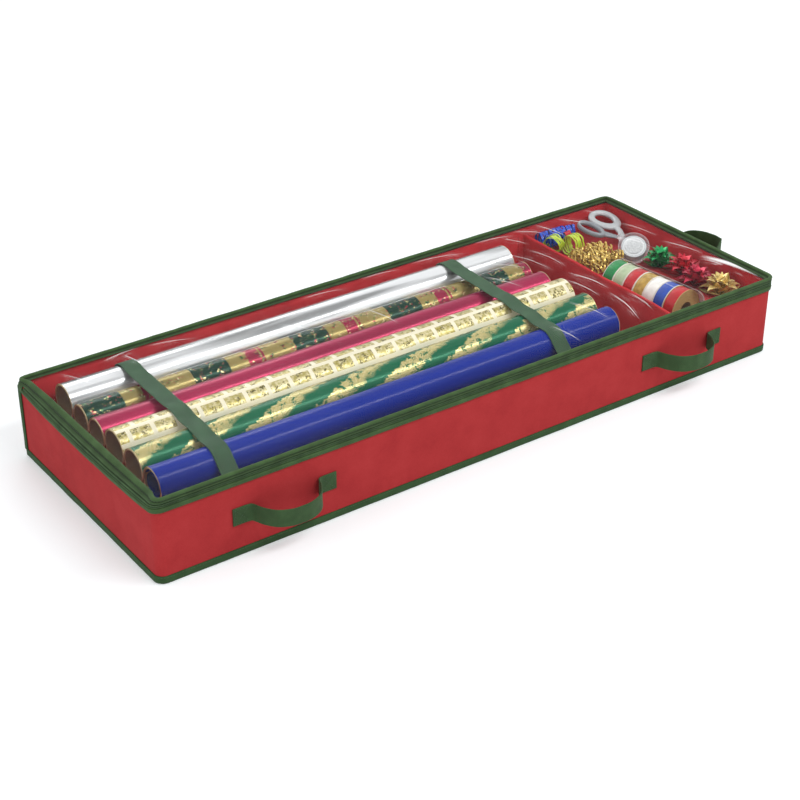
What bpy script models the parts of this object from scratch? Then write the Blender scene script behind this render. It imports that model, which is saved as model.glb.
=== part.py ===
"""Gift wrap organizer: a long, low, soft-sided storage tray with a clear zip-round lid.

Metres, +Z up. The origin is the centre of the base, on the surface it stands on. +X runs along
the tray towards the ribbon compartment, -Y is the front with two handles, and the lid is sewn
along the back edge. The rolls, ribbons, bows, scissors and tape lie where the tray is shown
holding them.
"""

import math

import bmesh
import bpy
from mathutils import Matrix, Vector

# Overall size, over the bindings
LENGTH = 1.030
WIDTH = 0.373
HEIGHT = 0.121

# Fits and working values
GAP = 0.0003
OVERRUN = 0.004
WELD = 0.00001
SCREW_MERGE = 0.00005

# Layers of the sewn shell, from the outside in
FABRIC = 0.0010
BOARD = 0.0020
LINING = 0.0008
FRONT_CORNER = 0.012
BACK_CORNER = 0.002
CORNER_STEPS = 5

# Bindings and zipper, as heights and how far they stand out from the wall
RIM_PROUD = 0.0025
RIM_BINDING = 0.0068
ZIP_TAPE = 0.0023
ZIP_RECESS = 0.0008
ZIP_END = 0.015
ZIP_EDGE = 0.0005
LID_BAND = 0.0070
LID_BAND_WALL = 0.0030
LID_TOP = 0.0017
LID_FRAME = 0.015
LID_EDGE = 0.0011
WINDOW = 0.0006
BINDING_EDGE = 0.0009
BASE_PROUD = 0.0014
BASE_BINDING = 0.010
BASE_EDGE = 0.0004
BASE_LIFT = 0.0005
CORNER_BINDING = 0.0018
CORNER_BINDING_REACH = 0.0085
CORNER_BINDING_EDGE = 0.0006

# Divider between the roll and ribbon compartments: the ribbon side's clear width, and the
# height left free under the lid's window
RIBBON_ROOM = 0.1666
DIVIDER_WALL = 0.0030
DIVIDER_HEADROOM = 0.0174
DIVIDER_FLANGE = 0.012
DIVIDER_FLANGE_WALL = 0.0012
DIVIDER_EDGE = 0.0005

# Webbing handles: drops are from the rim binding's lower edge to the middle of the webbing
WEBBING = 0.025
WEBBING_WALL = 0.0016
HANDLE_SPAN = 0.150
HANDLE_BOW = 0.042
HANDLE_DROP = 0.0442
HANDLE_INSET = 0.179
END_HANDLE_DROP = 0.0262
END_HANDLE_RISE = 0.035
END_HANDLE_SHIFT = 0.008
WEBBING_EDGE = 0.0004
HANDLE_STEPS = 24

# Zipper slider and its pull
SLIDER_INSET = 0.022
SLIDER_LONG = 0.0095
SLIDER_HIGH = 0.0078
SLIDER_WALL = 0.0016
KEEL_LONG = 0.0060
KEEL_HIGH = 0.0038
BRIDGE_WIRE = 0.0006
BRIDGE_LONG = 0.0064
BRIDGE_OUT = 0.0028
PULL_LONG = 0.024
PULL_HIGH = 0.0062
PULL_WALL = 0.0010
PULL_SLOT_LONG = 0.0056
PULL_SLOT_HIGH = 0.0028
PULL_BAR = 0.0012
PULL_TIP = 0.0022

# Elastic straps over the rolls: how far in from the rolls' near and far ends, and how far
# below the rolls they are sewn to the walls
STRAP_NEAR_INSET = 0.099
STRAP_FAR_INSET = 0.1045
STRAP = 0.025
STRAP_WALL = 0.0012
STRAP_DROP = 0.0149
ARC_STEPS = 16

# Wrap rolls, front to back: node, diameter as a share of the rolls' room, colour
ROLL_SHARES = (
    ("wrap_roll_blue", 0.1626, "2A3C9E"),
    ("wrap_roll_green", 0.1696, "1F7D55"),
    ("wrap_roll_cream", 0.1799, "EDE4C4"),
    ("wrap_roll_crimson", 0.1557, "A82C56"),
    ("wrap_roll_striped", 0.1523, "7E8A4A"),
    ("wrap_roll_silver", 0.1799, "C9CCCE"),
)
ROLL_WALL = 0.0026
ROLL_FRONT_ROOM = 0.0576
ROLL_BACK_ROOM = 0.0108
ROLL_NEAR_ROOM = 0.0381
ROLL_FAR_ROOM = 0.0690
ROLL_HEADROOM = 0.0065
ROLL_SIDES = 24
BOXES_INSET = 0.008
BOXES_EDGE = 0.0015

# Gift boxes that carry the goods in the ribbon compartment
BOX_HEADROOM = 0.0404
BOX_CLEAR = 0.0055
BOX_FRONT_ROOM = 0.0316
BOX_SPLIT_SHARE = 0.1308
LOW_BOX_WIDE = 0.0915
BOX_EDGE = 0.0010

# Ribbon spools: node, ribbon colour
SPOOLS = (
    ("ribbon_spool_green", "138A4A"),
    ("ribbon_spool_sage", "B7C7A0"),
    ("ribbon_spool_scarlet", "B3202C"),
    ("ribbon_spool_gold", "B08A2E"),
    ("ribbon_spool_white", "E6E4EA"),
    ("ribbon_spool_blue", "2E50B0"),
    ("ribbon_spool_red", "C02630"),
)
SPOOL_FLANGE_RADIUS = 0.031
SPOOL_RIBBON_RADIUS = 0.0298
SPOOL_BORE = 0.012
SPOOL_FLANGE = 0.0011
SPOOL_ROOM = 0.0495
SPOOL_BACK_ROOM = 0.0050
SPOOL_FRONT_ROOM = 0.0258
SPOOL_HEADROOM = 0.0161
SPOOL_ROW_TURN = math.radians(6.3)
SPOOL_SIDES = 20

# Star bows, back to front: node, how far in from the bows by the end wall, colour
BOWS = (
    ("bow_green", 0.0210, "127A4C"),
    ("bow_red", 0.0, "B01D36"),
    ("bow_crimson", 0.0210, "A01B38"),
    ("bow_gold", 0.0, "B89640"),
)
BOW_BACK_ROOM = 0.0255
BOW_FRONT_ROOM = 0.0260
BOW_END_ROOM = 0.0016
BOW_REACH_SHARE = 0.5375
BOW_HIGH = 0.029
BOW_LOOPS = 9
BOW_TIERS = 6
BOW_VALLEY_SHARE = 0.62
BOW_FOOT_SHARE = 0.55
BOW_WAIST = 0.0097

# Curled ribbon: node, start from the divider, middle from the back lining, number of curls,
# colour
CURLS = (
    ("curled_ribbon_blue", 0.0160, 0.0236, 9, "2347B8"),
    ("curled_ribbon_lime", 0.0160, 0.0586, 5, "A9C23A"),
    ("curled_ribbon_gold", 0.0180, 0.1096, 7, "B08C38"),
)
CURL_RADIUS = 0.0105
CURL_WIRE = 0.0015
CURL_PITCH = 0.0086
CURL_POINTS = 10
CURL_SIDES = 1

# Scissors, in their own plane: across, and along towards the handles. The lower blade's tip
# lies on the back box and the small grip on the end of the blue curls. Their pivot is placed
# from the divider and from the back lining.
SCISSORS_ROOM = 0.1335
SCISSORS_BACK_ROOM = 0.0896
SCISSORS_TILT = math.radians(12.0)
SCISSORS_TURN = math.radians(19.0)
BLADE_LONG = 0.046
BLADE_WIDE = 0.0085
BLADE_WALL = 0.0014
BLADE_TIP = 0.0014
SHANK_WIDE = 0.0080
SHANK_LONG = 0.034
SHANK_LEAN = 0.0165
GRIP_WALL = 0.0068
GRIP_RIM = 0.0062
GRIP_LONG = 0.0245
GRIP_BIG = 0.0195
GRIP_SMALL = 0.0175
GRIP_ACROSS = 0.0215
GRIP_ALONG = 0.0530
GRIP_EDGE = 0.0014
PIVOT_RADIUS = 0.0030
PIVOT_HEAD = 0.0045
PIVOT_HEAD_HIGH = 0.0012
GRIP_STEPS = 28

# Tape in its dispenser, placed from the divider and from the boxes' split
TAPE_ROOM = 0.1100
TAPE_SPLIT_ROOM = 0.0245
TAPE_TILT = math.radians(34.0)
TAPE_TURN = math.radians(-42.0)
TAPE_RADIUS = 0.0195
TAPE_BORE = 0.0100
TAPE_WIDE = 0.0120
HOLDER_RADIUS = 0.0235
HOLDER_WALL = 0.0014
HOLDER_NOSE = 0.034
HOLDER_NOSE_WIDE = 0.013
HOLDER_NOSE_ANGLE = math.radians(135.0)
HOLDER_LIP = 0.0080
HOLDER_LIP_WALL = 0.0016
TAPE_SIDES = 24

# Colours, as sRGB hex values
RED_FABRIC = "A83338"
RED_LINING = "9E2F33"
GREEN_BINDING = "34502F"
GREEN_TAPE = "2E4A2A"
GREEN_ELASTIC = "3F6B4A"
GREY_BOARD = "8C8478"
CLEAR_PVC = "E9ECEC"
GUNMETAL = "5A5A58"
CARTON = "B9A88A"
STEEL = "A9ADB0"
GREY_GRIP = "9FA6A8"
CLEAR_STYRENE = "DDE0E0"
TAPE_CORE = "DCDCDC"

# Heights and half sizes worked out from the values above
WALL_X = LENGTH / 2 - RIM_PROUD
WALL_Y = WIDTH / 2 - RIM_PROUD
BOARD_IN = FABRIC + GAP
LINING_IN = BOARD_IN + BOARD + GAP
INNER = LINING_IN + LINING
INNER_X = WALL_X - INNER
INNER_Y = WALL_Y - INNER
BAND_BOTTOM = HEIGHT - LID_BAND
UPPER_ZIP_BOTTOM = BAND_BOTTOM - GAP - ZIP_TAPE
PARTING = UPPER_ZIP_BOTTOM - GAP / 2
WALL_TOP = PARTING - GAP / 2
LOWER_ZIP_BOTTOM = WALL_TOP - ZIP_TAPE
RIM_TOP = LOWER_ZIP_BOTTOM - GAP
RIM_BOTTOM = RIM_TOP - RIM_BINDING
FLOOR_TOP = FABRIC + GAP + BOARD
SEAT = FLOOR_TOP + GAP
WINDOW_BOTTOM = HEIGHT - LID_TOP - GAP - WINDOW
HANDLE_HEIGHT = RIM_BOTTOM - HANDLE_DROP
END_HANDLE_HEIGHT = RIM_BOTTOM - END_HANDLE_DROP

# Where the goods lie, worked out from the walls, the divider and the lid's window
DIVIDER_X = INNER_X - RIBBON_ROOM - DIVIDER_WALL / 2
DIVIDER_TOP = WINDOW_BOTTOM - DIVIDER_HEADROOM
ROLL_NEAR = ROLL_NEAR_ROOM - INNER_X
ROLL_FAR = DIVIDER_X - ROLL_FAR_ROOM
ROLLS_ROOM = 2 * INNER_Y - ROLL_FRONT_ROOM - ROLL_BACK_ROOM - len(ROLL_SHARES) * GAP
ROLL_SEAT = WINDOW_BOTTOM - ROLL_HEADROOM - ROLLS_ROOM * max(share for _, share, _ in ROLL_SHARES)
BOX_FRONT = BOX_FRONT_ROOM - INNER_Y
BOX_SPLIT_Y = BOX_SPLIT_SHARE * INNER_Y
BOX_LEFT = DIVIDER_X + DIVIDER_WALL / 2 + BOX_CLEAR
BOX_SPLIT_X = BOX_LEFT + LOW_BOX_WIDE
BOX_TOP = WINDOW_BOTTOM - BOX_HEADROOM
GOODS_SEAT = BOX_TOP + GAP
SPOOL_SEAT = WINDOW_BOTTOM - SPOOL_HEADROOM - 2 * SPOOL_FLANGE_RADIUS
SPOOL_ROW_X = DIVIDER_X + SPOOL_ROOM
SPOOL_ROW_Y = BOX_SPLIT_Y - SPOOL_BACK_ROOM
SPOOL_PITCH = (SPOOL_ROW_Y - BOX_FRONT - SPOOL_FRONT_ROOM) / len(SPOOLS)
SPOOL_WIDE = SPOOL_PITCH - GAP
BOW_FIRST = BOX_SPLIT_Y - BOW_BACK_ROOM
BOW_PITCH = (BOW_FIRST - BOX_FRONT - BOW_FRONT_ROOM) / (len(BOWS) - 1)
BOW_RADIUS = BOW_PITCH * BOW_REACH_SHARE
BOW_X = INNER_X - BOW_END_ROOM - BOW_RADIUS
SCISSORS_PLACE = (DIVIDER_X + SCISSORS_ROOM, INNER_Y - SCISSORS_BACK_ROOM)
TAPE_PLACE = (DIVIDER_X + TAPE_ROOM, BOX_SPLIT_Y + TAPE_SPLIT_ROOM)


def linear(hex_colour):
    """Turn an sRGB hex colour into linear red, green, blue and alpha."""
    values = []
    for start in (0, 2, 4):
        channel = int(hex_colour[start:start + 2], 16) / 255
        values.append(channel / 12.92 if channel <= 0.04045 else ((channel + 0.055) / 1.055) ** 2.4)
    return (*values, 1.0)


def material(name, colour, roughness, metallic=0.0):
    """Return the named Principled material, made on first use."""
    existing = bpy.data.materials.get(name)
    if existing:
        return existing
    made = bpy.data.materials.new(name)
    made.use_nodes = True
    shader = made.node_tree.nodes["Principled BSDF"]
    shader.inputs["Base Color"].default_value = linear(colour)
    shader.inputs["Roughness"].default_value = roughness
    shader.inputs["Metallic"].default_value = metallic
    return made


def collection(name):
    """Return a new collection linked to the scene."""
    made = bpy.data.collections.new(name)
    bpy.context.scene.collection.children.link(made)
    return made


def adopt(obj, name, finish, home):
    """Name an object, give it its material and move it to its collection."""
    obj.name = name
    obj.data.name = name
    obj.data.materials.clear()
    obj.data.materials.append(finish)
    for other in list(obj.users_collection):
        other.objects.unlink(obj)
    home.objects.link(obj)
    return obj


def empty(name, place, home, turn=(0.0, 0.0, 0.0)):
    """Add an empty that carries a moving or tilted piece."""
    made = bpy.data.objects.new(name, None)
    made.location = place
    made.rotation_euler = turn
    home.objects.link(made)
    return made


def bevel(obj, width, segments=2):
    """Round the sharp edges of an object."""
    step = obj.modifiers.new("rounded_edges", "BEVEL")
    step.width = width
    step.segments = segments
    step.limit_method = "ANGLE"
    step.angle_limit = math.radians(50.0)
    return obj


def weld(obj):
    """Join the loose caps of a filled curve to its sides."""
    step = obj.modifiers.new("joined_caps", "WELD")
    step.merge_threshold = WELD
    return obj


def block(name, low, high, finish, home, edge=0.0):
    """Make a box between two corners from a primitive cube."""
    low, high = Vector(low), Vector(high)
    bpy.ops.mesh.primitive_cube_add(size=1.0, location=(low + high) / 2)
    obj = bpy.context.active_object
    obj.scale = high - low
    bpy.ops.object.transform_apply(location=False, rotation=False, scale=True)
    adopt(obj, name, finish, home)
    if edge:
        bevel(obj, edge)
    return obj


def slab(name, loops, low, high, finish, home, edge=0.0):
    """Extrude flat outlines, with holes, between two heights."""
    curve = bpy.data.curves.new(name, "CURVE")
    curve.dimensions = "2D"
    curve.fill_mode = "BOTH"
    curve.extrude = (high - low) / 2
    for loop in loops:
        spline = curve.splines.new("POLY")
        spline.points.add(len(loop) - 1)
        for point, (x, y) in zip(spline.points, loop):
            point.co = (x, y, 0.0, 1.0)
        spline.use_cyclic_u = True
    obj = bpy.data.objects.new(name, curve)
    obj.location = (0.0, 0.0, (low + high) / 2)
    bpy.context.scene.collection.objects.link(obj)
    adopt(obj, name, finish, home)
    if edge:
        bevel(weld(obj), edge)
    return obj


def solid(obj):
    """Turn a curve object into a closed mesh object with the same name and place."""
    name, finish, home = obj.name, obj.data.materials[0], obj.users_collection[0]
    bpy.context.view_layer.update()
    graph = bpy.context.evaluated_depsgraph_get()
    mesh = bpy.data.meshes.new_from_object(obj.evaluated_get(graph))
    form = bmesh.new()
    form.from_mesh(mesh)
    bmesh.ops.remove_doubles(form, verts=form.verts, dist=WELD)
    bmesh.ops.recalc_face_normals(form, faces=form.faces)
    form.to_mesh(mesh)
    form.free()
    made = bpy.data.objects.new(name, mesh)
    made.matrix_world = obj.matrix_world.copy()
    bpy.data.objects.remove(obj)
    bpy.context.scene.collection.objects.link(made)
    return adopt(made, name, finish, home)


def combine(obj, tool, operation, cutters):
    """Cut an object with another, or join it to another, and keep the tool out of the model."""
    step = obj.modifiers.new(operation.lower(), "BOOLEAN")
    step.operation = operation
    step.solver = "EXACT"
    step.object = tool
    tool.hide_render = True
    tool.display_type = "WIRE"
    for other in list(tool.users_collection):
        other.objects.unlink(tool)
    cutters.objects.link(tool)
    return obj


def smooth(obj):
    """Shade a round piece smooth between its sharp edges."""
    obj.data.shade_smooth()
    obj.data.set_sharp_from_angle(angle=math.radians(40.0))
    return obj


def turned(name, profile, sides, finish, home):
    """Turn a closed profile about Z; its points run down the outer side and up the bore."""
    mesh = bpy.data.meshes.new(name)
    points = [(radius, 0.0, height) for radius, height in profile]
    edges = [(i, (i + 1) % len(points)) for i in range(len(points))]
    mesh.from_pydata(points, edges, [])
    obj = bpy.data.objects.new(name, mesh)
    bpy.context.scene.collection.objects.link(obj)
    adopt(obj, name, finish, home)
    step = obj.modifiers.new("turned", "SCREW")
    step.steps = sides
    step.render_steps = sides
    step.use_merge_vertices = True
    step.merge_threshold = SCREW_MERGE
    return obj


def strip(name, rows, thickness, finish, home):
    """Make a band of fabric from rows of two points, given its thickness both ways."""
    mesh = bpy.data.meshes.new(name)
    points = [point for row in rows for point in row]
    faces = [(2 * i, 2 * i + 1, 2 * i + 3, 2 * i + 2) for i in range(len(rows) - 1)]
    mesh.from_pydata(points, [], faces)
    obj = bpy.data.objects.new(name, mesh)
    bpy.context.scene.collection.objects.link(obj)
    adopt(obj, name, finish, home)
    step = obj.modifiers.new("fabric", "SOLIDIFY")
    step.thickness = thickness
    step.offset = 0.0
    return obj


def wire(name, points, radius, sides, finish, home):
    """Make a round wire along points, with closed ends."""
    curve = bpy.data.curves.new(name, "CURVE")
    curve.dimensions = "3D"
    curve.bevel_depth = radius
    curve.bevel_resolution = sides
    curve.use_fill_caps = True
    spline = curve.splines.new("POLY")
    spline.points.add(len(points) - 1)
    for point, place in zip(spline.points, points):
        point.co = (*place, 1.0)
    obj = bpy.data.objects.new(name, curve)
    bpy.context.scene.collection.objects.link(obj)
    return adopt(obj, name, finish, home)


def arc(centre, radius, start, end, steps):
    """Points on an arc, ends included, from angles in radians."""
    turn = (end - start) / steps
    return [(centre[0] + radius * math.cos(start + turn * i), centre[1] + radius * math.sin(start + turn * i))
            for i in range(steps + 1)]


def ellipse(centre, across, along, steps):
    """Points round an ellipse."""
    turn = math.tau / steps
    return [(centre[0] + across * math.cos(turn * i), centre[1] + along * math.sin(turn * i))
            for i in range(steps)]


def rectangle(half_x, half_y, front_radius, back_radius):
    """A rectangle about the origin, anticlockwise, its front and back corners rounded."""
    quarter = math.pi / 2
    corners = (
        (half_x, -half_y, front_radius, -quarter),
        (half_x, half_y, back_radius, 0.0),
        (-half_x, half_y, back_radius, quarter),
        (-half_x, -half_y, front_radius, math.pi),
    )
    points = []
    for x, y, radius, start in corners:
        centre = (x - math.copysign(radius, x), y - math.copysign(radius, y))
        points += arc(centre, radius, start, start + quarter, CORNER_STEPS)
    return points


def plan(inset, square_back=False):
    """The tray's plan, this far inside the outer face of the wall; a negative inset is outside."""
    front = max(FRONT_CORNER - inset, BACK_CORNER)
    back = GAP if square_back else max(BACK_CORNER - inset, GAP)
    return rectangle(WALL_X - inset, WALL_Y - inset, front, back)


def front_band(outer_inset, inner_inset, end_y):
    """Outline of a band round the left end, front and right end that stops at end_y."""
    quarter = math.pi / 2
    sides = []
    for inset in (outer_inset, inner_inset):
        half_x, half_y, radius = WALL_X - inset, WALL_Y - inset, FRONT_CORNER - inset
        side = [(-half_x, end_y)]
        centre_x, centre_y = half_x - radius, radius - half_y
        side += arc((-centre_x, centre_y), radius, math.pi, math.pi + quarter, CORNER_STEPS)
        side += arc((centre_x, centre_y), radius, -quarter, 0.0, CORNER_STEPS)
        side.append((half_x, end_y))
        sides.append(side)
    return sides[0] + sides[1][::-1]


def back_band(outer_inset, inner_inset, end_y):
    """Outline of a band along the back that turns both back corners and stops at end_y."""
    outer_x, outer_y = WALL_X - outer_inset, WALL_Y - outer_inset
    inner_x, inner_y = WALL_X - inner_inset, WALL_Y - inner_inset
    centre_x, centre_y = outer_x - BACK_CORNER, outer_y - BACK_CORNER
    side = [(outer_x, end_y)]
    side += arc((centre_x, centre_y), BACK_CORNER, 0.0, math.pi / 2, CORNER_STEPS)
    side += arc((-centre_x, centre_y), BACK_CORNER, math.pi / 2, math.pi, CORNER_STEPS)
    side.append((-outer_x, end_y))
    return side + [(-inner_x, end_y), (-inner_x, inner_y), (inner_x, inner_y), (inner_x, end_y)]


def build_shell(home):
    """The sewn walls and base: outer fabric, stiffening boards and lining."""
    fabric = material("red_nonwoven_fabric", RED_FABRIC, 0.85)
    lining = material("red_lining", RED_LINING, 0.85)
    board = material("grey_board", GREY_BOARD, 0.9)
    foot = FABRIC + GAP
    wrap = front_band(0.0, FABRIC, WALL_Y - FABRIC - GAP)
    slab("outer_wall", [wrap], foot, WALL_TOP, fabric, home)
    block("back_wall", (-WALL_X, WALL_Y - FABRIC, foot), (WALL_X, WALL_Y, WALL_TOP), fabric, home)
    slab("base_fabric", [plan(0.0)], 0.0, FABRIC, fabric, home)
    side = WALL_X - BOARD_IN
    back = WALL_Y - BOARD_IN
    straight_y = WALL_Y - FRONT_CORNER
    straight_x = WALL_X - FRONT_CORNER
    block("left_board", (-side, -straight_y, foot), (BOARD - side, back, WALL_TOP), board, home)
    block("right_board", (side - BOARD, -straight_y, foot), (side, back, WALL_TOP), board, home)
    block("front_board", (-straight_x, -back, foot), (straight_x, BOARD - back, WALL_TOP), board, home)
    between = side - BOARD - GAP
    block("back_board", (-between, back - BOARD, foot), (between, back, WALL_TOP), board, home)
    floor_x = WALL_X - LINING_IN
    floor_y = WALL_Y - LINING_IN
    floor_plan = rectangle(floor_x, floor_y, FRONT_CORNER - LINING_IN, BACK_CORNER)
    slab("floor_board", [floor_plan], foot, FLOOR_TOP, board, home)
    inner = rectangle(INNER_X, INNER_Y, FRONT_CORNER - INNER, BACK_CORNER - LINING)
    slab("wall_lining", [floor_plan, inner[::-1]], FLOOR_TOP + GAP, WALL_TOP, lining, home)


def build_bindings(home):
    """The green bindings: base edge, back corners and rim."""
    binding = material("green_binding", GREEN_BINDING, 0.75)
    against_wall = plan(-GAP, square_back=True)[::-1]
    slab("base_binding", [plan(-BASE_PROUD), against_wall], BASE_LIFT, BASE_BINDING, binding, home,
         BASE_EDGE)
    slab("rim_binding", [plan(-RIM_PROUD), against_wall], RIM_BOTTOM, RIM_TOP, binding, home,
         BINDING_EDGE)
    for name, sign in (("back_left_binding", -1), ("back_right_binding", 1)):
        inner_x, inner_y = WALL_X + GAP, WALL_Y + GAP
        outer_x, outer_y = inner_x + CORNER_BINDING, inner_y + CORNER_BINDING
        reach_x, reach_y = outer_x - CORNER_BINDING_REACH, outer_y - CORNER_BINDING_REACH
        centre = (outer_x - BACK_CORNER, outer_y - BACK_CORNER)
        outline = [(outer_x, reach_y)]
        outline += arc(centre, BACK_CORNER, 0.0, math.pi / 2, CORNER_STEPS)
        outline += [(reach_x, outer_y), (reach_x, inner_y), (inner_x, inner_y), (inner_x, reach_y)]
        outline = [(sign * x, y) for x, y in outline]
        slab(name, [outline], BASE_BINDING + GAP, RIM_BOTTOM - GAP, binding, home,
             CORNER_BINDING_EDGE)


def build_lid(home, cutters, lid):
    """The lid: clear window, sewn frame, upper half of the zipper and the hinge strip."""
    binding = material("green_binding", GREEN_BINDING, 0.75)
    tape = material("green_zip_tape", GREEN_TAPE, 0.8)
    clear = material("clear_pvc", CLEAR_PVC, 0.15)
    frame = solid(slab("lid_frame", [plan(-RIM_PROUD)], BAND_BOTTOM, HEIGHT, binding, home))
    hollow = plan(LID_BAND_WALL - RIM_PROUD)
    under_top = HEIGHT - LID_TOP
    room = solid(slab("room_for_window", [hollow], BAND_BOTTOM - OVERRUN, under_top, binding, home))
    opening = plan(LID_FRAME - RIM_PROUD)
    sight = solid(slab("sight_opening", [opening], BAND_BOTTOM, HEIGHT + OVERRUN, binding, home))
    combine(frame, room, "DIFFERENCE", cutters)
    combine(frame, sight, "DIFFERENCE", cutters)
    bevel(frame, LID_EDGE)
    sheet = plan(LID_BAND_WALL - RIM_PROUD + GAP)
    window = slab("lid_window", [sheet], under_top - GAP - WINDOW, under_top - GAP, clear, home)
    outer, inner = ZIP_RECESS - RIM_PROUD, LID_BAND_WALL - RIM_PROUD
    end_y = WIDTH / 2 - ZIP_END
    upper = slab("upper_zipper", [front_band(outer, inner, end_y)], UPPER_ZIP_BOTTOM,
                 BAND_BOTTOM - GAP, tape, home, ZIP_EDGE)
    hinge = slab("hinge_strip", [back_band(outer, inner, end_y + GAP)], UPPER_ZIP_BOTTOM,
                 BAND_BOTTOM - GAP, binding, home, ZIP_EDGE)
    for obj in (frame, room, sight, window, upper, hinge):
        obj.parent = lid
        obj.matrix_parent_inverse = lid.matrix_world.inverted()
    slab("lower_zipper", [front_band(outer, -GAP, end_y)], LOWER_ZIP_BOTTOM, WALL_TOP, tape, home,
         ZIP_EDGE)


def build_divider(home):
    """The upright panel between the compartments, with flaps sewn to the front and back walls."""
    fabric = material("red_lining", RED_LINING, 0.85)
    half = DIVIDER_WALL / 2
    end = INNER_Y - GAP
    web = end - DIVIDER_FLANGE_WALL
    flap = DIVIDER_FLANGE
    outline = [
        (-flap, -end), (flap, -end), (flap, -web), (half, -web), (half, web), (flap, web),
        (flap, end), (-flap, end), (-flap, web), (-half, web), (-half, -web), (-flap, -web),
    ]
    outline = [(DIVIDER_X + x, y) for x, y in outline]
    slab("divider", [outline], SEAT, DIVIDER_TOP, fabric, home, DIVIDER_EDGE)


def handle_rows(rise):
    """Rows of the webbing loop in its own frame: along the wall, out from it, and up."""
    half_span = HANDLE_SPAN / 2 - WEBBING - GAP - WEBBING_WALL / 2
    rows = []
    for i in range(HANDLE_STEPS + 1):
        angle = math.pi * i / HANDLE_STEPS
        along = -half_span * math.cos(angle)
        out = HANDLE_BOW * math.sin(angle)
        lift = rise * math.sin(angle)
        rows.append((along, out + GAP, lift))
    return rows


def build_handle(name, place, turn, height, rise, home):
    """One webbing handle: two sewn patches on the wall and the loop that swings up."""
    webbing = material("green_webbing", GREEN_ELASTIC, 0.8)
    frame = Matrix.Translation((*place, 0.0)) @ Matrix.Rotation(turn, 4, "Z")
    top = height + WEBBING / 2
    carrier = empty(name + "_axis", frame @ Vector((0.0, 0.0, top)), home)
    rows = []
    for along, out, lift in handle_rows(rise):
        foot = frame @ Vector((along, -out, height - WEBBING / 2 + lift)) - carrier.location
        head = frame @ Vector((along, -out, top + lift)) - carrier.location
        rows.append((foot, head))
    loop = strip(name, rows, WEBBING_WALL, webbing, home)
    loop.parent = carrier
    inner = HANDLE_SPAN / 2 - WEBBING
    for side, sign in (("left", -1), ("right", 1)):
        middle = sign * (inner + WEBBING / 2)
        half = Vector((WEBBING / 2, WEBBING_WALL / 2, WEBBING / 2))
        patch = block(name + "_patch_" + side, -half, half, webbing, home, WEBBING_EDGE)
        patch.location = frame @ Vector((middle, -GAP - WEBBING_WALL / 2, height))
        patch.rotation_euler = (0.0, 0.0, turn)


def build_handles(home):
    """The two front handles and the one on the ribbon compartment's end."""
    offset = WALL_X - HANDLE_INSET
    build_handle("front_left_handle", (-offset, -WALL_Y), 0.0, HANDLE_HEIGHT, 0.0, home)
    build_handle("front_right_handle", (offset, -WALL_Y), 0.0, HANDLE_HEIGHT, 0.0, home)
    build_handle("end_handle", (WALL_X, -END_HANDLE_SHIFT), math.pi / 2, END_HANDLE_HEIGHT,
                 END_HANDLE_RISE, home)


def build_slider(home, cutters):
    """The zipper slider at the hidden end of its travel, and its pull."""
    metal = material("gunmetal_zinc", GUNMETAL, 0.35, 1.0)
    face = LENGTH / 2 + GAP
    slider_y = WIDTH / 2 - SLIDER_INSET
    carrier = empty("zipper_slider_axis", (face, slider_y, PARTING), home)
    half_long, half_high = SLIDER_LONG / 2, SLIDER_HIGH / 2
    body = block("zipper_slider", (0.0, -half_long, -half_high), (SLIDER_WALL, half_long, half_high),
                 metal, home)
    keel = block("slider_keel", (-ZIP_RECESS, -KEEL_LONG / 2, -KEEL_HIGH / 2),
                 (SLIDER_WALL / 2, KEEL_LONG / 2, KEEL_HIGH / 2), metal, home)
    arch = SLIDER_WALL + BRIDGE_OUT
    foot = SLIDER_WALL / 2
    half_bridge = BRIDGE_LONG / 2
    route = [(foot, -half_bridge, 0.0), (arch - BRIDGE_WIRE, -half_bridge, 0.0)]
    route += [(arch, BRIDGE_WIRE - half_bridge, 0.0), (arch, half_bridge - BRIDGE_WIRE, 0.0)]
    route += [(arch - BRIDGE_WIRE, half_bridge, 0.0), (foot, half_bridge, 0.0)]
    bridge = solid(wire("slider_bridge", route, BRIDGE_WIRE, 2, metal, home))
    combine(body, keel, "UNION", cutters)
    combine(body, bridge, "UNION", cutters)
    for obj in (body, keel, bridge):
        obj.parent = carrier
    hinge_x = SLIDER_WALL + (BRIDGE_OUT - BRIDGE_WIRE) / 2
    pull_axis = empty("zipper_pull_axis", (hinge_x, 0.0, 0.0), home)
    pull_axis.parent = carrier
    half_pull, half_slot = PULL_HIGH / 2, PULL_SLOT_HIGH / 2
    end, slot_start = PULL_BAR / 2, -PULL_BAR / 2
    slot_end = slot_start - PULL_SLOT_LONG
    tip = end - PULL_LONG
    outline = [(end, -half_slot - PULL_BAR), (end, half_slot + PULL_BAR), (tip / 2, half_pull)]
    outline += [(tip + PULL_TIP, half_pull), (tip, half_pull - PULL_TIP), (tip, PULL_TIP - half_pull)]
    outline += [(tip + PULL_TIP, -half_pull), (tip / 2, -half_pull)]
    slot = [(slot_start, -half_slot), (slot_start, half_slot), (slot_end, half_slot),
            (slot_end, -half_slot)]
    half_wall = PULL_WALL / 2
    pull = slab("zipper_pull", [outline, slot], -half_wall, half_wall, metal, home)
    pull.rotation_euler = (math.pi / 2, 0.0, math.pi / 2)
    pull.parent = pull_axis


def roll_places():
    """Centres of the rolls across the tray, lying side by side on the folded boxes."""
    places = []
    edge = ROLL_FRONT_ROOM - INNER_Y
    for name, share, colour in ROLL_SHARES:
        radius = share * ROLLS_ROOM / 2
        places.append((name, radius, edge + radius, ROLL_SEAT + radius, colour))
        edge += 2 * radius + GAP
    return places


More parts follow.
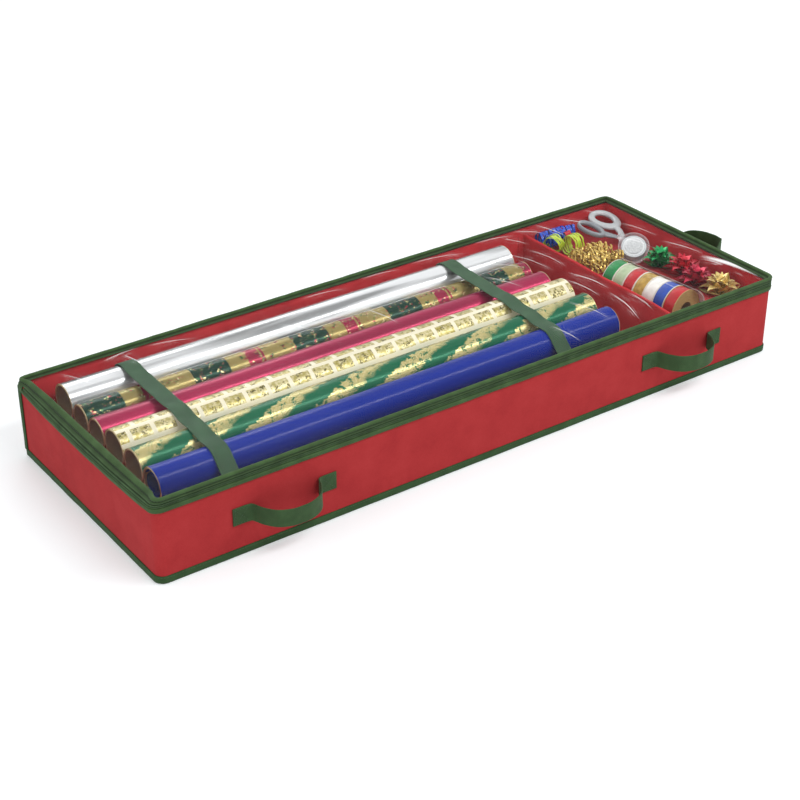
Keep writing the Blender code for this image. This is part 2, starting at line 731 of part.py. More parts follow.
def build_rolls(home):
    """The wrap rolls, open tubes, on a stack of folded gift boxes."""
    for name, radius, y, z, colour in roll_places():
        finish = material(name + "_paper", colour, 0.3)
        long = ROLL_FAR - ROLL_NEAR
        bore = radius - ROLL_WALL
        profile = [(radius, long), (radius, 0.0), (bore, 0.0), (bore, long)]
        roll = smooth(turned(name, profile, ROLL_SIDES, finish, home))
        roll.location = (ROLL_NEAR, y, z)
        roll.rotation_euler = (0.0, math.pi / 2, 0.0)
    places = roll_places()
    front, back = places[0][2] - places[0][1], places[-1][2] + places[-1][1]
    carton = material("folded_carton", CARTON, 0.8)
    low = (ROLL_NEAR + BOXES_INSET, front + BOXES_INSET, SEAT)
    high = (ROLL_FAR - BOXES_INSET, back - BOXES_INSET, ROLL_SEAT - GAP)
    block("folded_gift_boxes", low, high, carton, home, BOXES_EDGE)


def strap_route():
    """The taut line over the rolls, from the front wall to the back wall, as (y, z) points."""
    half = STRAP_WALL / 2
    anchor = INNER_Y - GAP - half
    height = ROLL_SEAT - STRAP_DROP
    points = [(-anchor, height), (anchor, height)]
    for name, radius, y, z, colour in roll_places():
        points += arc((y, z), radius + GAP + half, 0.0, math.pi, ARC_STEPS)
    points.sort()
    hull = []
    for point in points:
        while len(hull) > 1:
            (ay, az), (by, bz) = hull[-2], hull[-1]
            if (by - ay) * (point[1] - az) - (bz - az) * (point[0] - ay) < 0:
                break
            hull.pop()
        hull.append(point)
    return hull


def build_straps(home):
    """The two elastic straps that hold the rolls down."""
    elastic = material("green_elastic", GREEN_ELASTIC, 0.8)
    places = (("left_strap", ROLL_NEAR + STRAP_NEAR_INSET), ("right_strap", ROLL_FAR - STRAP_FAR_INSET))
    for name, x in places:
        rows = [((x - STRAP / 2, y, z), (x + STRAP / 2, y, z)) for y, z in strap_route()]
        strip(name, rows, STRAP_WALL, elastic, home)


def build_gift_boxes(home):
    """The gift boxes under the ribbons, bows, scissors and tape."""
    carton = material("folded_carton", CARTON, 0.8)
    right = INNER_X - BOX_CLEAR / 2
    back = INNER_Y - DIVIDER_FLANGE_WALL - BOX_CLEAR / 2
    block("gift_box_low", (BOX_LEFT, BOX_FRONT, SEAT), (BOX_SPLIT_X, BOX_SPLIT_Y, SPOOL_SEAT - GAP),
          carton, home, BOX_EDGE)
    block("gift_box_back", (BOX_LEFT, BOX_SPLIT_Y + GAP, SEAT), (right, back, BOX_TOP), carton, home,
          BOX_EDGE)
    block("gift_box_side", (BOX_SPLIT_X + GAP, BOX_FRONT, SEAT), (right, BOX_SPLIT_Y, BOX_TOP), carton,
          home, BOX_EDGE)


def build_spools(home):
    """The row of ribbon spools, lying on the low box with their axis towards the front."""
    height = SPOOL_SEAT + SPOOL_FLANGE_RADIUS
    row = empty("spool_row", (SPOOL_ROW_X, SPOOL_ROW_Y, height), home, (0.0, 0.0, SPOOL_ROW_TURN))
    top, bottom = SPOOL_WIDE - SPOOL_FLANGE, SPOOL_FLANGE
    profile = [
        (SPOOL_FLANGE_RADIUS, SPOOL_WIDE), (SPOOL_FLANGE_RADIUS, top), (SPOOL_RIBBON_RADIUS, top),
        (SPOOL_RIBBON_RADIUS, bottom), (SPOOL_FLANGE_RADIUS, bottom), (SPOOL_FLANGE_RADIUS, 0.0),
        (SPOOL_BORE, 0.0), (SPOOL_BORE, SPOOL_WIDE),
    ]
    for i, (name, colour) in enumerate(SPOOLS):
        spool = turned(name, profile, SPOOL_SIDES, material(name + "_satin", colour, 0.4), home)
        spool.location = (0.0, -i * SPOOL_PITCH, 0.0)
        spool.rotation_euler = (math.pi / 2, 0.0, 0.0)
        spool.parent = row


def build_bow(name, x, y, colour, home):
    """A star bow: a dome drawn out into loops, flat underneath."""
    form = bmesh.new()
    bmesh.ops.create_uvsphere(form, u_segments=2 * BOW_LOOPS, v_segments=BOW_TIERS, radius=1.0)
    step = math.tau / (2 * BOW_LOOPS)
    for vertex in form.verts:
        around = math.atan2(vertex.co.y, vertex.co.x) / step
        across = math.hypot(vertex.co.x, vertex.co.y)
        tier = round(math.acos(max(-1.0, min(1.0, vertex.co.z))) * BOW_TIERS / math.pi)
        share = BOW_VALLEY_SHARE if (round(around) + tier) % 2 else 1.0
        if across < WELD:
            share = 1.0
        if vertex.co.z < -WELD:
            vertex.co = Vector((vertex.co.x, vertex.co.y, 0.0)) * BOW_FOOT_SHARE
        else:
            vertex.co *= share
        lift = BOW_WAIST if vertex.co.z > -WELD and tier <= BOW_TIERS / 2 else 0.0
        vertex.co = (vertex.co.x * BOW_RADIUS, vertex.co.y * BOW_RADIUS,
                     lift + vertex.co.z * (BOW_HIGH - BOW_WAIST))
    mesh = bpy.data.meshes.new(name)
    form.to_mesh(mesh)
    form.free()
    obj = bpy.data.objects.new(name, mesh)
    obj.location = (x, y, GOODS_SEAT)
    bpy.context.scene.collection.objects.link(obj)
    return adopt(obj, name, material(name + "_ribbon", colour, 0.25), home)


def build_bows(home):
    """The star bows on the side box."""
    for i, (name, inset, colour) in enumerate(BOWS):
        build_bow(name, BOW_X - inset, BOW_FIRST - i * BOW_PITCH, colour, home)


def least_gap(points, radius):
    """Least clear distance between turns that lie more than half a turn apart."""
    reach = CURL_POINTS // 2
    least = min((a - b).length for i, a in enumerate(points) for b in points[i + reach:])
    return least - 2 * radius


def build_curls(home):
    """Curled ribbon, each one unbroken helix lying on the back box."""
    height = GOODS_SEAT + CURL_RADIUS + CURL_WIRE
    for name, start, room, turns, colour in CURLS:
        x, y = DIVIDER_X + start, INNER_Y - room
        points = []
        for i in range(turns * CURL_POINTS + 1):
            angle = math.tau * i / CURL_POINTS
            points.append(Vector((x + CURL_PITCH * i / CURL_POINTS, y + CURL_RADIUS * math.cos(angle),
                                  height + CURL_RADIUS * math.sin(angle))))
        wire(name, points, CURL_WIRE, CURL_SIDES, material(name + "_foil", colour, 0.25), home)
        print(name, "least gap between curls:", round(least_gap(points, CURL_WIRE), 5))


def build_scissors_half(name, side, layer, finish, grip, home, cutters):
    """One half: blade, shank and finger loop; side is the grip's side, layer the blade's level."""
    low, high = (layer * BLADE_WALL + GAP / 2, (layer + 1) * BLADE_WALL - GAP / 2)
    half = BLADE_WIDE / 2
    shank_x = side * SHANK_LEAN
    outline = [
        (-side * half, 0.0), (-side * half, BLADE_WIDE - BLADE_LONG), (side * BLADE_TIP, -BLADE_LONG),
        (side * half, BLADE_TIP - BLADE_LONG / 2), (side * half, 0.0),
        (shank_x + side * SHANK_WIDE / 2, SHANK_LONG), (shank_x - side * SHANK_WIDE / 2, SHANK_LONG),
    ]
    body = solid(slab(name, [outline], low, high, finish, home))
    size = GRIP_BIG if side > 0 else GRIP_SMALL
    middle = (side * GRIP_ACROSS, GRIP_ALONG)
    outer = ellipse(middle, size, GRIP_LONG, GRIP_STEPS)
    hole = ellipse(middle, size - GRIP_RIM, GRIP_LONG - GRIP_RIM, GRIP_STEPS)
    centre = BLADE_WALL / 2
    ring = slab(name + "_grip", [outer, hole[::-1]], centre - GRIP_WALL / 2, centre + GRIP_WALL / 2,
                grip, home, GRIP_EDGE)
    ring = solid(ring)
    combine(body, ring, "UNION", cutters)
    return body, ring


def build_scissors(home, cutters):
    """The scissors, with their upper half turning on the lower half's pivot."""
    steel = material("scissors_steel", STEEL, 0.3, 1.0)
    grip = material("scissors_grip", GREY_GRIP, 0.5)
    tip_drop = BLADE_LONG * math.sin(SCISSORS_TILT) + BLADE_WALL * math.cos(SCISSORS_TILT)
    place = (*SCISSORS_PLACE, GOODS_SEAT + tip_drop)
    carrier = empty("scissors_axis", place, home, (SCISSORS_TILT, 0.0, SCISSORS_TURN))
    lower, lower_grip = build_scissors_half("scissors_lower_half", 1, -1, steel, grip, home, cutters)
    upper, upper_grip = build_scissors_half("scissors_upper_half", -1, 0, steel, grip, home, cutters)
    middle = (0.0, 0.0)
    pin_radius = PIVOT_RADIUS - GAP
    pin_top = BLADE_WALL + PIVOT_HEAD_HIGH
    pin = solid(slab("pivot_pin", [ellipse(middle, pin_radius, pin_radius, GRIP_STEPS)],
                     -BLADE_WALL / 2, pin_top, steel, home))
    head = solid(slab("pivot_head", [ellipse(middle, PIVOT_HEAD, PIVOT_HEAD, GRIP_STEPS)],
                      BLADE_WALL + GAP / 2, pin_top, steel, home))
    bore = solid(slab("pivot_bore", [ellipse(middle, PIVOT_RADIUS, PIVOT_RADIUS, GRIP_STEPS)],
                      -OVERRUN, OVERRUN, steel, home))
    combine(lower, pin, "UNION", cutters)
    combine(lower, head, "UNION", cutters)
    combine(upper, bore, "DIFFERENCE", cutters)
    for obj in (lower, lower_grip, upper, upper_grip, pin, head, bore):
        obj.parent = carrier


def build_tape(home, cutters):
    """The clear tape dispenser, leaning back, and the tape roll that turns on its hub."""
    clear = material("clear_styrene", CLEAR_STYRENE, 0.1)
    core = material("tape_roll_film", TAPE_CORE, 0.3)
    place = (*TAPE_PLACE, GOODS_SEAT + math.sin(TAPE_TILT) * HOLDER_RADIUS)
    carrier = empty("tape_axis", place, home, (TAPE_TILT, 0.0, TAPE_TURN))
    middle = (0.0, 0.0)
    rim = ellipse(middle, HOLDER_RADIUS, HOLDER_RADIUS, TAPE_SIDES)
    plate = solid(slab("tape_dispenser", [rim], 0.0, HOLDER_WALL, clear, home))
    half = HOLDER_NOSE_WIDE / 2
    lip_start = HOLDER_NOSE - HOLDER_LIP_WALL
    turn = Matrix.Rotation(HOLDER_NOSE_ANGLE, 2)
    arm = [(0.0, -half), (HOLDER_NOSE, -half / 2), (HOLDER_NOSE, half / 2), (0.0, half)]
    edge = [(lip_start, -half / 2), (HOLDER_NOSE, -half / 2), (HOLDER_NOSE, half / 2), (lip_start, half / 2)]
    nose = solid(slab("dispenser_nose", [[turn @ Vector(p) for p in arm]], 0.0, HOLDER_WALL, clear, home))
    lip = solid(slab("dispenser_cutter", [[turn @ Vector(p) for p in edge]], HOLDER_WALL / 2,
                     HOLDER_LIP, clear, home))
    hub_radius = TAPE_BORE - GAP
    hub = solid(slab("dispenser_hub", [ellipse(middle, hub_radius, hub_radius, TAPE_SIDES)],
                     HOLDER_WALL / 2, HOLDER_WALL + TAPE_WIDE, clear, home))
    for tool in (nose, lip, hub):
        combine(plate, tool, "UNION", cutters)
    base = HOLDER_WALL + GAP
    profile = [(TAPE_RADIUS, base + TAPE_WIDE), (TAPE_RADIUS, base), (TAPE_BORE, base),
               (TAPE_BORE, base + TAPE_WIDE)]
    roll = smooth(turned("tape_roll", profile, TAPE_SIDES, core, home))
    for obj in (plate, nose, lip, hub, roll):
        obj.parent = carrier


def main():
    """Clear the scene and build the organizer."""
    for obj in list(bpy.data.objects):
        bpy.data.objects.remove(obj)
    home = collection("gift_wrap_organizer")
    cutters = collection("cutters")
    lid = empty("lid_axis", (0.0, WIDTH / 2 + GAP, PARTING), home)
    bpy.context.view_layer.update()
    build_shell(home)
    build_bindings(home)
    build_lid(home, cutters, lid)
    build_divider(home)
    build_handles(home)
    build_slider(home, cutters)
    build_rolls(home)
    build_straps(home)
    build_gift_boxes(home)
    build_spools(home)
    build_bows(home)
    build_curls(home)
    build_scissors(home, cutters)
    build_tape(home, cutters)
    bpy.context.view_layer.update()


main()
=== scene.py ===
"""Gift wrap organizer: the soft box, its clear lid and the goods in it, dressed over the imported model."""
import logging
import math
from dataclasses import dataclass
from enum import Enum
from functools import partial
from typing import Optional, Sequence

import bmesh
import bpy
import numpy as np
from mathutils import Euler, Matrix, Vector


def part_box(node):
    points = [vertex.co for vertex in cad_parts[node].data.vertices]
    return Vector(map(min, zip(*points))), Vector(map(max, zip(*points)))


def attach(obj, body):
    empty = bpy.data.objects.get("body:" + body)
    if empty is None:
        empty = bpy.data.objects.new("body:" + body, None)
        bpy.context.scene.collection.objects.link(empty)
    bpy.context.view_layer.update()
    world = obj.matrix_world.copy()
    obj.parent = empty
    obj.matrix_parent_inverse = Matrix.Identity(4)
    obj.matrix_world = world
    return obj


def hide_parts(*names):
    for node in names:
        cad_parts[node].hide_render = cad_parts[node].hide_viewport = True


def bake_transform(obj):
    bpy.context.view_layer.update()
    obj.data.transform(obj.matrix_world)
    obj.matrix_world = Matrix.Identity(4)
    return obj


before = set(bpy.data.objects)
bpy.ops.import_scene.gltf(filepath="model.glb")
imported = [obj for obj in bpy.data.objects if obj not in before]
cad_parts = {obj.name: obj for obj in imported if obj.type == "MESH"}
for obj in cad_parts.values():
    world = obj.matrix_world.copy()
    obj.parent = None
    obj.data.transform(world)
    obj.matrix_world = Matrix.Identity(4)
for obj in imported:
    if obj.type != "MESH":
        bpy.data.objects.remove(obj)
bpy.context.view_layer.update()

log = logging.getLogger("gift_wrap_organizer")
Colour = tuple[float, float, float, float]
Point = tuple[float, float, float]
Section = Sequence[tuple[float, ...]]
Node, Socket, Tree, Piece = bpy.types.Node, bpy.types.NodeSocket, bpy.types.NodeTree, bpy.types.Object
# Successive turns by this angle never line up, as in a sunflower's head.
GOLDEN_ANGLE = 2.39996


def linear(code: str, alpha: float = 1.0) -> Colour:
    """Turn an sRGB colour into Blender's linear values.

    Args:
        code: The colour as #RRGGBB.
        alpha: The fourth value.

    Returns:
        Red, green, blue and alpha.
    """
    parts = [int(code[place:place + 2], 16) / 255 for place in (1, 3, 5)]
    straight = [part / 12.92 if part <= 0.04045 else ((part + 0.055) / 1.055) ** 2.4 for part in parts]
    return straight[0], straight[1], straight[2], alpha


def first_output(node: Node) -> Socket:
    """Give a node's first output that its settings leave in use."""
    return next(socket for socket in node.outputs if socket.enabled)


def add_node(
    tree: Tree, kind: str, inputs: Optional[dict] = None, to: Optional[Socket] = None,
    stops: Sequence[tuple[float, Colour]] = (), interpolation: str = "LINEAR", **settings: object,
) -> Node:
    """Add one node with its settings, values and links.

    Args:
        tree: The tree that the node goes into.
        kind: Blender's name for the node.
        inputs: For an input's name or number, a value, a socket, or a node for its first output in use.
        to: The socket that the node's first output in use goes to.
        stops: Places and colours, where the node is a colour ramp.
        interpolation: How a colour ramp goes between its stops.
        **settings: The node's own settings.

    Returns:
        The node.
    """
    node = tree.nodes.new(kind)
    for name, value in settings.items():
        setattr(node, name, value)
    for key, value in (inputs or {}).items():
        if isinstance(value, Node):
            value = first_output(value)
        if isinstance(value, Socket):
            tree.links.new(value, node.inputs[key])
        else:
            node.inputs[key].default_value = value
    if stops:
        ramp = node.color_ramp
        ramp.interpolation = interpolation
        ramp.elements[0].position, ramp.elements[0].color = stops[0]
        ramp.elements[1].position, ramp.elements[1].color = stops[-1]
        for place, colour in stops[1:-1]:
            ramp.elements.new(place).color = colour
    if to is not None:
        tree.links.new(first_output(node), to)
    return node


def blank_tree(owner: bpy.types.ID) -> Tree:
    """Give a material or a world a node tree with nothing in it.

    Args:
        owner: The material or the world.

    Returns:
        The tree.
    """
    owner.use_nodes = True
    owner.node_tree.nodes.clear()
    return owner.node_tree


def waves(points: np.ndarray, size: float, seed: int, count: int = 8) -> np.ndarray:
    """Smooth seeded unevenness.

    Args:
        points: Places, with their coordinates along the last axis.
        size: How far apart its swells are, in metres.
        seed: Which unevenness it is.
        count: How many waves are added up.

    Returns:
        A value between about -1 and 1 for each place.
    """
    dice = np.random.default_rng(seed)
    total = np.zeros(points.shape[:-1])
    for _ in range(count):
        way = dice.normal(size=points.shape[-1])
        way /= np.linalg.norm(way)
        length = size * dice.uniform(0.7, 1.7)
        total += np.sin(points @ way * math.tau / length + dice.uniform(0, math.tau))
    return total / math.sqrt(count) * 0.8


def ease(values: np.ndarray, low: float, high: float) -> np.ndarray:
    """Rise smoothly from 0 at low to 1 at high."""
    share = np.clip((values - low) / (high - low), 0, 1)
    return share * share * (3 - 2 * share)


def spread(*parts: object) -> np.ndarray:
    """Join coordinates, numbers or arrays that fit over one another, along a last axis."""
    return np.stack(np.broadcast_arrays(*parts), axis=-1).astype(float)


def unit(ways: np.ndarray) -> np.ndarray:
    """Scale directions to a length of 1."""
    return ways / np.linalg.norm(ways, axis=-1, keepdims=True)


def doubled(near: np.ndarray, far: np.ndarray) -> np.ndarray:
    """Join a sheet's two faces into one section that goes round both."""
    return np.concatenate([near, far[:, ::-1]], axis=1)


def travel(points: np.ndarray, closed: bool = True) -> np.ndarray:
    """Measure how far along a path each of its points is.

    Args:
        points: The points, in order.
        closed: Whether the last joins the first, which puts the whole length last.

    Returns:
        The lengths.
    """
    steps = np.diff(points, axis=0, append=points[:1]) if closed else np.diff(points, axis=0)
    return np.concatenate([[0], np.cumsum(np.linalg.norm(steps, axis=1))])


def revolve(section: Section, around: np.ndarray) -> np.ndarray:
    """Turn a section about the z axis.

    Args:
        section: The radius and the height of each of its points, and what else it holds.
        around: The directions.

    Returns:
        A grid with a row for each point of the section.
    """
    radius, height = np.array(section)[:, :2].T[..., None]
    return spread(radius * np.cos(around), radius * np.sin(around), height)


class Mesher:
    """Collects grids of points and makes one mesh of them."""

    def __init__(self) -> None:
        """Start with nothing."""
        self.points: list[np.ndarray] = []
        self.faces: list[tuple[int, ...]] = []
        self.maps: list[tuple[float, float]] = []
        self.finishes: list[int] = []
        self.darks: list[np.ndarray] = []
        self.count = 0

    def grid(
        self, points: np.ndarray, finish: int = 0, round_rows: bool = False, round_columns: bool = False,
        flip: bool = False, along: Optional[np.ndarray] = None, across: Optional[np.ndarray] = None,
        dark: Optional[Sequence[float]] = None,
    ) -> "Mesher":
        """Add a surface of quads.

        Args:
            points: Rows by columns by three coordinates.
            finish: Which of the piece's finishes it has.
            round_rows: Whether the last row joins the first.
            round_columns: Whether the last column joins the first.
            flip: Whether its faces are turned over.
            along: The map's first value for each row, with one more where the rows join.
            across: The map's second value for each column, with one more where the columns join.
            dark: How much painted shade each column gets, from 0 to 1, for its folds and grooves.

        Returns:
            This mesher.
        """
        rows, columns = points.shape[:2]
        along = travel(points[:, 0]) if along is None else along
        across = travel(points[0]) if across is None else across
        start = self.count
        self.points.append(points.reshape(-1, 3))
        self.darks.append(np.tile(np.zeros(columns) if dark is None else np.asarray(dark, dtype=float), rows))
        self.count += rows * columns
        for row in range(rows if round_rows else rows - 1):
            below = (row + 1) % rows
            for column in range(columns if round_columns else columns - 1):
                beside = (column + 1) % columns
                corners = [
                    (row, column, along[row], across[column]),
                    (below, column, along[row + 1], across[column]),
                    (below, beside, along[row + 1], across[column + 1]),
                    (row, beside, along[row], across[column + 1]),
                ]
                if flip:
                    corners.reverse()
                self.faces.append(tuple(start + r * columns + c for r, c, _, _ in corners))
                self.maps.extend((float(u), float(v)) for _, _, u, v in corners)
                self.finishes.append(finish)
        return self

    def cap(self, ring: np.ndarray, finish: int = 0) -> "Mesher":
        """Close a ring with a fan about its middle.

        Args:
            ring: The ring's points.
            finish: Which of the piece's finishes it has.

        Returns:
            This mesher.
        """
        start, size = self.count, len(ring)
        ring = np.vstack([ring, ring.mean(axis=0)])
        self.points.append(ring)
        self.darks.append(np.zeros(size + 1))
        self.count += size + 1
        for place in range(size):
            corners = [place, (place + 1) % size, size]
            self.faces.append(tuple(start + corner for corner in corners))
            self.maps.extend((float(ring[corner][0]), float(ring[corner][1:].sum())) for corner in corners)
            self.finishes.append(finish)
        return self

    def bar(self, sections: np.ndarray, finish: int = 0, **how: object) -> "Mesher":
        """Add a closed section that is carried along a path, and close its two ends.

        Args:
            sections: A row for each place on the path.
            finish: Which of the piece's finishes it has.
            **how: What else the surface's grid is told.

        Returns:
            This mesher.
        """
        self.grid(sections, finish, round_columns=True, **how)
        return self.cap(sections[0], finish).cap(sections[-1], finish)

    def piece(self, name: str, finishes: Sequence["Finish"], smooth: float = 40) -> Piece:
        """Make the mesh and its object.

        Args:
            name: The piece's name.
            finishes: Its finishes, in the order that the grids number them.
            smooth: The sharpest bend, in degrees, that still shades smoothly.

        Returns:
            The object, with doubles merged and faces pointing outwards.
        """
        mesh = bpy.data.meshes.new(name)
        mesh.from_pydata(np.vstack(self.points).tolist(), [], self.faces)
        mesh.uv_layers.new(name="UVMap").data.foreach_set("uv", np.array(self.maps, dtype=np.float32).ravel())
        mesh.polygons.foreach_set("material_index", np.array(self.finishes, dtype=np.int32))
        # Each point's painted shade for folds and grooves, which darkens the woven finishes.
        darks = mesh.attributes.new("painted_fold_shade", "FLOAT", "POINT")
        darks.data.foreach_set("value", np.concatenate(self.darks).astype(np.float32))
        for finish in finishes:
            mesh.materials.append(finish.material())
        return settle(bpy.data.objects.new(name, mesh), smooth)


def settle(piece: Piece, smooth: float = 40) -> Piece:
    """Merge a piece's doubles, point its faces outwards, shade it and put it in the scene.

    Args:
        piece: The object.
        smooth: The sharpest bend, in degrees, that still shades smoothly.

    Returns:
        The same object.
    """
    work = bmesh.new()
    work.from_mesh(piece.data)
    bmesh.ops.remove_doubles(work, verts=work.verts, dist=1e-6)
    bmesh.ops.recalc_face_normals(work, faces=work.faces)
    for face in work.faces:
        face.smooth = True
    for edge in work.edges:
        if len(edge.link_faces) == 2:
            edge.smooth = edge.calc_face_angle(0) < math.radians(smooth)
    work.to_mesh(piece.data)
    work.free()
    piece.data.update()
    bpy.context.scene.collection.objects.link(piece)
    return piece


def hand_in(piece: Piece, slot: str, *nodes: str, body: Optional[str] = "tray") -> Piece:
    """Attach a piece to its body and hide the CAD nodes that it stands for.

    Args:
        piece: The piece.
        slot: Not used.
        *nodes: The CAD nodes that it stands for.
        body: The body that it rides on, or None where it spans two, which leaves it unattached.

    Returns:
        The same piece.
    """
    if body:
        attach(piece, body)
    if nodes:
        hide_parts(*nodes)
    log.info("%s, on %s", piece.name, body or "two bodies")
    return piece


def redress(name: str, finish: "Finish") -> None:
    """Give a CAD node a better material.

    Args:
        name: The node's name.
        finish: Its finish.
    """
    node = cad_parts[name]
    if not node.material_slots:
        node.data.materials.append(finish.material())
    for place in node.material_slots:
        place.material = finish.material()
    log.info("%s, redressed", name)


def grown(name: str, tree: Tree, values: dict, finish: "Finish", source: Optional[bpy.types.Mesh] = None) -> Piece:
    """Run a Geometry Nodes tree once and keep what it makes as a plain mesh.

    Args:
        name: The piece's name.
        tree: The tree.
        values: The tree's inputs, by name.
        finish: What it is made of.
        source: The mesh that the tree starts from, if it needs one.

    Returns:
        The piece.
    """
    holder = bpy.data.objects.new(name + "_source", source or bpy.data.meshes.new(name + "_source"))
    bpy.context.scene.collection.objects.link(holder)
    modifier = holder.modifiers.new("grow", "NODES")
    modifier.node_group = tree
    values = {**values, "Finish": finish.material()}
    for item in tree.interface.items_tree:
        if item.item_type == "SOCKET" and item.in_out == "INPUT" and item.name in values:
            modifier[item.identifier] = values[item.name]
    graph = bpy.context.evaluated_depsgraph_get()
    mesh = bpy.data.meshes.new_from_object(holder.evaluated_get(graph), depsgraph=graph)
    bpy.data.objects.remove(holder)
    mesh.name = name
    return settle(bpy.data.objects.new(name, mesh))


def path_mesh(name: str, paths: Sequence[np.ndarray], closed: bool = False) -> bpy.types.Mesh:
    """Make a mesh of edges through points, for a tree to follow.

    Args:
        name: The mesh's name.
        paths: The paths, each a list of points.
        closed: Whether each comes back to its start.

    Returns:
        The mesh.
    """
    points, edges = [], []
    for path in paths:
        first = len(points)
        points += [tuple(point) for point in path]
        edges += [(first + place, first + place + 1) for place in range(len(path) - 1)]
        if closed:
            edges.append((len(points) - 1, first))
    mesh = bpy.data.meshes.new(name)
    mesh.from_pydata(points, edges, [])
    return mesh


def open_tree(name: str, sockets: dict[str, object]) -> tuple[Tree, bpy.types.NodeOutputs]:
    """Start a Geometry Nodes tree.

    Args:
        name: Its name.
        sockets: For each of its inputs, the usual value, or a kind of socket where there is none.

    Returns:
        The tree, and its inputs' sockets. Finish is one more of them.
    """
    tree = bpy.data.node_groups.new(name, "GeometryNodeTree")
    for label, value in {**sockets, "Finish": "Material"}.items():
        kind = value if isinstance(value, str) else type(value).__name__.title()
        socket = tree.interface.new_socket(label, in_out="INPUT", socket_type="NodeSocket" + kind)
        if not isinstance(value, str):
            socket.default_value = value
    tree.interface.new_socket("Geometry", in_out="OUTPUT", socket_type="NodeSocketGeometry")
    return tree, add_node(tree, "NodeGroupInput").outputs


def close_tree(tree: Tree, shape: Node, finish: Socket) -> Tree:
    """End a Geometry Nodes tree.

    Args:
        tree: The tree.
        shape: The node that makes its shape.
        finish: The input that holds its material.

    Returns:
        The same tree.
    """
    real = add_node(tree, "GeometryNodeRealizeInstances", {0: shape})
    done = add_node(tree, "GeometryNodeSetMaterial", {0: real, "Material": finish})
    add_node(tree, "NodeGroupOutput", {0: done})
    return tree


def rows_along_path_tree() -> Tree:
    """Build the tree that sets a small rounded shape at even steps along a path.

    Returns:
        The tree, with inputs Path, Pitch, Long, Wide, Deep, Unevenness and Finish.
    """
    tree, given = open_tree("rows_along_path", {
        "Path": "Geometry", "Pitch": 0.003, "Long": 0.002, "Wide": 0.0006, "Deep": 0.0006, "Unevenness": 0.0,
    })
    node = partial(add_node, tree)
    path = node("GeometryNodeMeshToCurve", {"Mesh": given["Path"]})
    places = node("GeometryNodeCurveToPoints", {"Curve": path, "Length": given["Pitch"]}, mode="LENGTH")
    bead = node("GeometryNodeMeshUVSphere", {"Segments": 6, "Rings": 4, "Radius": 0.5})
    size = node("ShaderNodeCombineXYZ", {0: given["Wide"], 1: given["Deep"], 2: given["Long"]})
    shape = node("GeometryNodeTransform", {"Geometry": bead, "Scale": size})
    least = node("ShaderNodeMath", {0: 0.0, 1: given["Unevenness"]}, operation="SUBTRACT")
    uneven = node("FunctionNodeRandomValue", {2: least, 3: given["Unevenness"], "Seed": 11}, data_type="FLOAT")
    tilt = node("FunctionNodeAxisAngleToRotation", {"Axis": (1.0, 0.0, 0.0), "Angle": uneven})
    way = node("FunctionNodeRotateRotation", {"Rotation": places.outputs["Rotation"], "Rotate By": tilt},
               rotation_space="LOCAL")
    copies = node("GeometryNodeInstanceOnPoints", {"Points": places, "Instance": shape, "Rotation": way})
    return close_tree(tree, copies, given["Finish"])


def curl_tree() -> Tree:
    """Build the tree that winds a flat ribbon into an uneven coil.

    Returns:
        The tree, with inputs Turns, Radius, Pitch, Wide, Thick, Unevenness, Seed and Finish.
    """
    tree, given = open_tree("ribbon_curl", {
        "Turns": 5.0, "Radius": 0.01, "Pitch": 0.008, "Wide": 0.005, "Thick": 0.0003, "Unevenness": 0.001, "Seed": 3,
    })
    node = partial(add_node, tree)
    height = node("ShaderNodeMath", {0: given["Turns"], 1: given["Pitch"]}, operation="MULTIPLY")
    coil = node("GeometryNodeCurveSpiral", {
        "Resolution": 22, "Rotations": given["Turns"], "Start Radius": given["Radius"], "End Radius": given["Radius"],
        "Height": height,
    })
    place = node("GeometryNodeInputPosition")
    shift = node("ShaderNodeCombineXYZ", {0: given["Seed"], 1: given["Seed"], 2: 0.0})
    moved = node("ShaderNodeVectorMath", {0: place, 1: shift}, operation="ADD")
    cloud = node("ShaderNodeTexNoise", {"Vector": moved, "Scale": 75.0, "Detail": 1.0})
    centred = node("ShaderNodeVectorMath", {0: cloud.outputs["Color"], 1: (0.5, 0.5, 0.5)}, operation="SUBTRACT")
    push = node("ShaderNodeVectorMath", {0: centred, "Scale": given["Unevenness"]}, operation="SCALE")
    uneven = node("GeometryNodeSetPosition", {"Geometry": coil, "Offset": push})
    upright = node("GeometryNodeSetCurveNormal", {"Curve": uneven}, mode="Z_UP")
    band = node("GeometryNodeCurvePrimitiveQuadrilateral", {"Width": given["Thick"], "Height": given["Wide"]})
    ribbon = node("GeometryNodeCurveToMesh", {"Curve": upright, "Profile Curve": band, "Fill Caps": True})
    return close_tree(tree, ribbon, given["Finish"])


